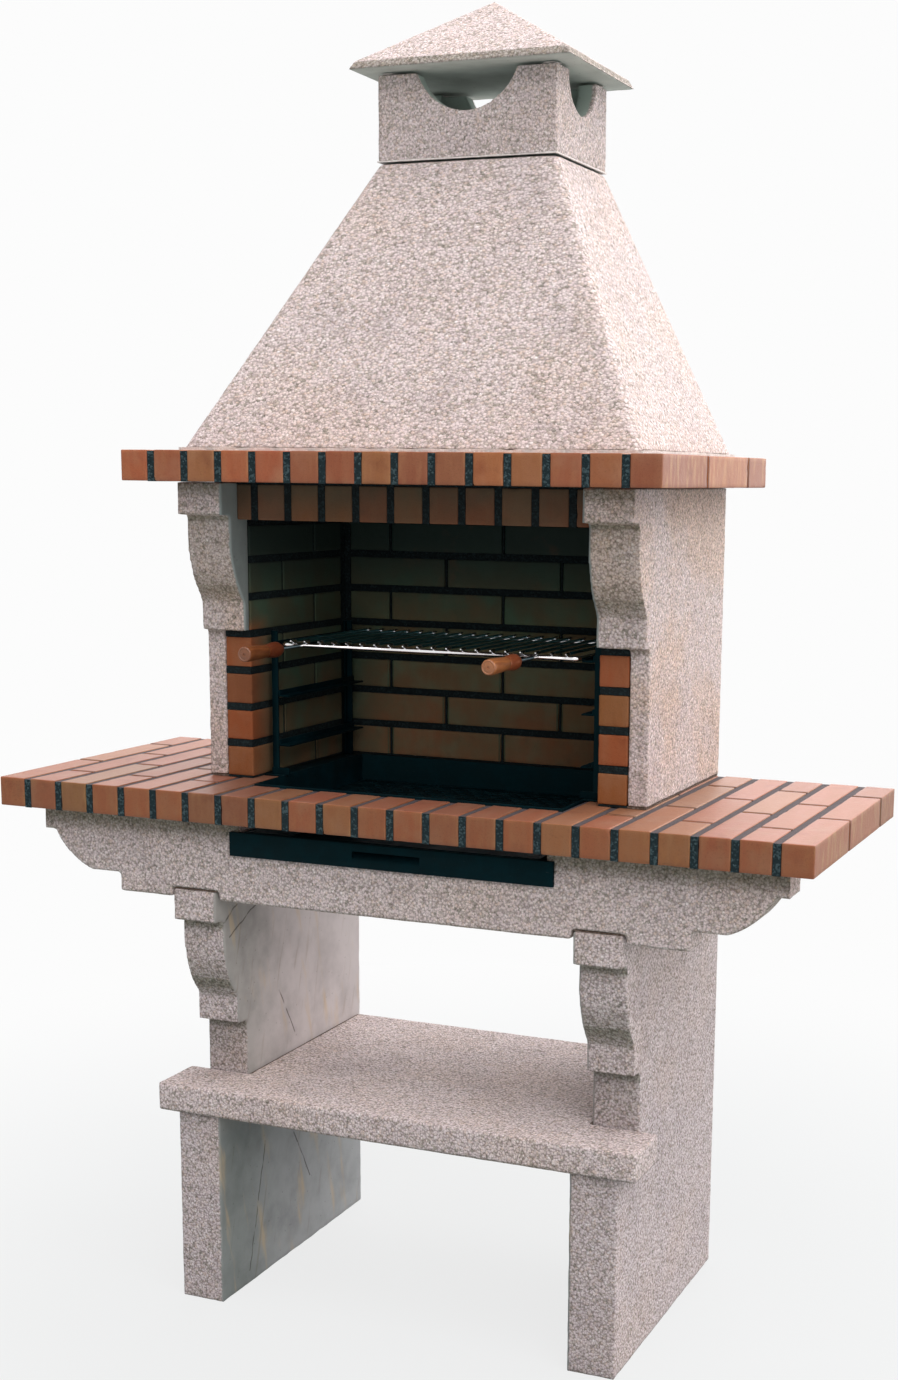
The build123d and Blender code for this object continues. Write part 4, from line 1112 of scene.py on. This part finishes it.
class DrawerOperator(bpy.types.Operator):
    """Make the ash drawer, its front with the finger pull, and its runners"""

    bl_idname = "barbecue.drawer"
    bl_label = "Ash drawer"

    def execute(self, context):
        paint = black_paint("black paint", context.scene.barbecue_fittings)
        sheet_piece("drawer_box", "ash_drawer", paint)
        sheet_piece("drawer_face", "drawer_front", paint, 0.0006)
        sheet_piece("runners", "drawer_runners", paint)
        return {"FINISHED"}


class RacksOperator(bpy.types.Operator):
    """Make the two angle-bar racks"""

    bl_idname = "barbecue.racks"
    bl_label = "Racks"

    def execute(self, context):
        paint = bpy.data.materials["black paint"]
        sheet_piece("posts", "rack_posts", paint, 0.0006)
        sheet_piece("rails", "rack_rails", paint, 0.0006)
        return {"FINISHED"}


class GrillOperator(bpy.types.Operator):
    """Make the chromed grill: its bent frame bar and its rods"""

    bl_idname = "barbecue.grill"
    bl_label = "Grill"

    def execute(self, context):
        looks = context.scene.barbecue_fittings

        # Painted reflection: the rods are dark between their ends, standing in for the dark firebox they
        # reflect.
        def over_fire(graph, place):
            y = graph.split(place)[1]
            front = graph.step(y, RODS_LOW.y + 0.008, RODS_LOW.y + 0.02)
            return graph.both(front, graph.step(y, RODS_HIGH.y - 0.012, RODS_HIGH.y - 0.03))

        def on_tangs(graph, place):
            return graph.step(graph.split(place)[1], RODS_LOW.y - 0.003, RODS_LOW.y - 0.012)

        chrome = bright_wire("chrome", looks, on_tangs, shade(26, 52, 60))
        plain_piece("grill_bar", cad_mesh("grill_frame"), 45, chrome, "chromed_wire", "grill_frame")
        vertices, edges = [], []
        for low, high in solid_boxes("grill_rods"):
            x, z = (low[0] + high[0]) / 2, (low[2] + high[2]) / 2
            edges.append((len(vertices), len(vertices) + 1))
            vertices += [(x, low[1], z), (x, high[1], z)]
        mesh = bpy.data.meshes.new("rods")
        mesh.from_pydata(vertices, edges, [])
        rods = new_piece("rods", mesh)
        # Rods darkened in teal between their ends: a painted reflection of the dark firebox.
        dull = bright_wire("smoked chrome", looks, over_fire, shade(56, 138, 154))
        apply_tree(rods, "grill rods", {"Radius": looks.rod_radius, "Bend": 0.001, "Material": dull})
        settle(rods)
        put(rods, "chromed_wire", "grill_rods")
        return {"FINISHED"}


class HandlesOperator(bpy.types.Operator):
    """Turn the two wooden handles"""

    bl_idname = "barbecue.handles"
    bl_label = "Handles"

    def execute(self, context):
        # The left handle gets painted shade.
        for side, handle_shade in (("left", 0.9), ("right", 0.0)):
            name, node = side + "_handle", "handle_" + side
            low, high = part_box(node)
            centre = ((low.x + high.x) / 2, high.y, (low.z + high.z) / 2)
            profile = [(share * (high.y - low.y), radius * MM) for share, radius in HANDLE_PROFILE]
            wood = turned_wood(name + " wood", context.scene.barbecue_fittings, centre, handle_shade)
            plain_piece(name, turned_mesh(name, centre, profile), 40, wood, "turned_wood", node)
        return {"FINISHED"}


class StageOperator(bpy.types.Operator):
    """Make the floor, the lamps and the camera"""

    bl_idname = "barbecue.stage"
    bl_label = "Stage"

    def execute(self, context):
        scene = context.scene
        looks = scene.barbecue_stage
        scene.view_settings.view_transform = "Standard"
        self.floor(looks)
        self.world(scene, looks)
        for name, strength, spread, side in (
            ("top lamp", looks.top_light, 60, (0.0, 0.0, 1.0)),
            ("side lamp", looks.side_light, 60, (0.46, -0.46, 0.77)),
            ("front lamp", looks.front_light, 50, (0.4, -0.87, 0.28)),
            ("rear lamp", looks.rear_light, 110, (0.35, 0.9, 0.3)),
        ):
            self.lamp(name, looks.lamp_colour, strength, spread, Vector(side))
        self.camera(scene)
        return {"FINISHED"}

    def floor(self, looks, half=14.0):
        mesh = bpy.data.meshes.new("floor")
        corners = [(-half, -half, 0), (half, -half, 0), (half, half, 0), (-half, half, 0)]
        mesh.from_pydata(corners, [], [(0, 1, 2, 3)])
        graph, place = start_material("floor")
        colour = graph.mix(graph.noise(place, 0.4, 2.0), tuple(looks.floor_colour), shade(156, 163, 164))
        matt = graph.node("ShaderNodeBsdfDiffuse", Color=colour)
        white = graph.node("ShaderNodeEmission", Color=tuple(looks.white), Strength=1.0)
        seen = self.seen_rays(graph) * graph.step(graph.length(place), 0.6, 2.2, 0.8, 1.0)
        shader = graph.node("ShaderNodeMixShader", None, {0: seen, 1: matt, 2: white})
        dress(mesh, link_surface(graph, shader))
        new_piece("floor", mesh)

    def seen_rays(self, graph):
        """1 for what the camera sees, straight or in metal and glass."""
        path = graph.node("ShaderNodeLightPath").socket.node
        camera, glossy, through = (
            Wire(graph, path.outputs[n]) for n in ("Is Camera Ray", "Is Glossy Ray", "Is Transmission Ray")
        )
        return graph.either(graph.either(camera, glossy), through)

    def world(self, scene, looks):
        world = bpy.data.worlds.new("studio")
        scene.world = world
        world.use_nodes = True
        world.node_tree.nodes.clear()
        graph = Graph(world.node_tree)
        even = graph.node("ShaderNodeBackground", Color=(1.0, 0.99, 0.985), Strength=looks.sky)
        white = graph.node("ShaderNodeBackground", Color=tuple(looks.white), Strength=1.0)
        mixed = graph.node("ShaderNodeMixShader", None, {0: self.seen_rays(graph), 1: even, 2: white})
        graph.node("ShaderNodeOutputWorld", Surface=mixed)

    def lamp(self, name, colour, strength, spread, side):
        """A wide, soft lamp as far off as the sky, on the given side."""
        light = bpy.data.lights.new(name, "SUN")
        light.energy = strength
        light.color = colour
        light.angle = math.radians(spread)
        lamp = new_piece(name, light)
        lamp.location = side * 4
        lamp.rotation_euler = side.to_track_quat("Z", "Y").to_euler()

    def camera(self, scene):
        """The photograph's view."""
        level = math.cos(PITCH)
        forward = Vector((-math.sin(YAW) * level, math.cos(YAW) * level, math.sin(PITCH)))
        right = forward.cross(Vector((0, 0, 1))).normalized()
        up = right.cross(forward)
        turned_right = right * math.cos(ROLL) + up * math.sin(ROLL)
        turned_up = up * math.cos(ROLL) - right * math.sin(ROLL)
        lens = bpy.data.cameras.new("camera")
        lens.sensor_fit = "VERTICAL"
        lens.sensor_height = lens.sensor_width = FILM
        lens.lens = FOCAL / TALL * FILM
        lens.shift_x = (WIDE / 2 - CENTRE_X) / TALL
        lens.shift_y = (CENTRE_Y - TALL / 2) / TALL
        lens.clip_end = 100.0
        axes = Matrix((turned_right, turned_up, -forward)).transposed()
        scene.camera = new_piece("camera", lens)
        scene.camera.matrix_world = Matrix.Translation(CAMERA_PLACE) @ axes.to_4x4()


class BarbecuePanel(bpy.types.Panel):
    """Lists the pieces and their looks in the sidebar"""

    bl_idname = "VIEW3D_PT_barbecue"
    bl_label = "Masonry barbecue"
    bl_space_type = "VIEW_3D"
    bl_region_type = "UI"
    bl_category = "Barbecue"

    def draw(self, context):
        for holder in GROUPS:
            group = getattr(context.scene, holder)
            box = self.layout.box()
            for name in group.bl_rna.properties.keys():
                if name not in ("rna_type", "name"):
                    box.prop(group, name)
        for operator in OPERATORS:
            self.layout.operator(operator.bl_idname)


GROUPS = {
    "barbecue_stone": StoneLooks,
    "barbecue_brick": BrickLooks,
    "barbecue_fittings": FittingLooks,
    "barbecue_stage": StageLooks,
}
OPERATORS = (
    LegsOperator, ShelfOperator, BeamOperator, FireboxWallsOperator, HoodOperator, ChimneyOperator,
    BricksOperator, JointsOperator, TrayOperator, DrawerOperator, RacksOperator, GrillOperator,
    HandlesOperator, StageOperator,
)


def register():
    for name, group in GROUPS.items():
        bpy.utils.register_class(group)
        setattr(bpy.types.Scene, name, bpy.props.PointerProperty(type=group))
    for kind in (*OPERATORS, BarbecuePanel):
        bpy.utils.register_class(kind)


def unregister():
    for kind in (BarbecuePanel, *reversed(OPERATORS)):
        bpy.utils.unregister_class(kind)
    for name, group in GROUPS.items():
        delattr(bpy.types.Scene, name)
        bpy.utils.unregister_class(group)


def main():
    register()
    weathered_tree()
    bricks_tree()
    rods_tree()
    for operator in (
        bpy.ops.barbecue.legs, bpy.ops.barbecue.shelf, bpy.ops.barbecue.beam, bpy.ops.barbecue.firebox_walls,
        bpy.ops.barbecue.hood, bpy.ops.barbecue.chimney, bpy.ops.barbecue.bricks, bpy.ops.barbecue.joints,
        bpy.ops.barbecue.tray, bpy.ops.barbecue.drawer, bpy.ops.barbecue.racks, bpy.ops.barbecue.grill,
        bpy.ops.barbecue.handles, bpy.ops.barbecue.stage,
    ):
        operator()
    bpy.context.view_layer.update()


if __name__ == "__main__":
    main()
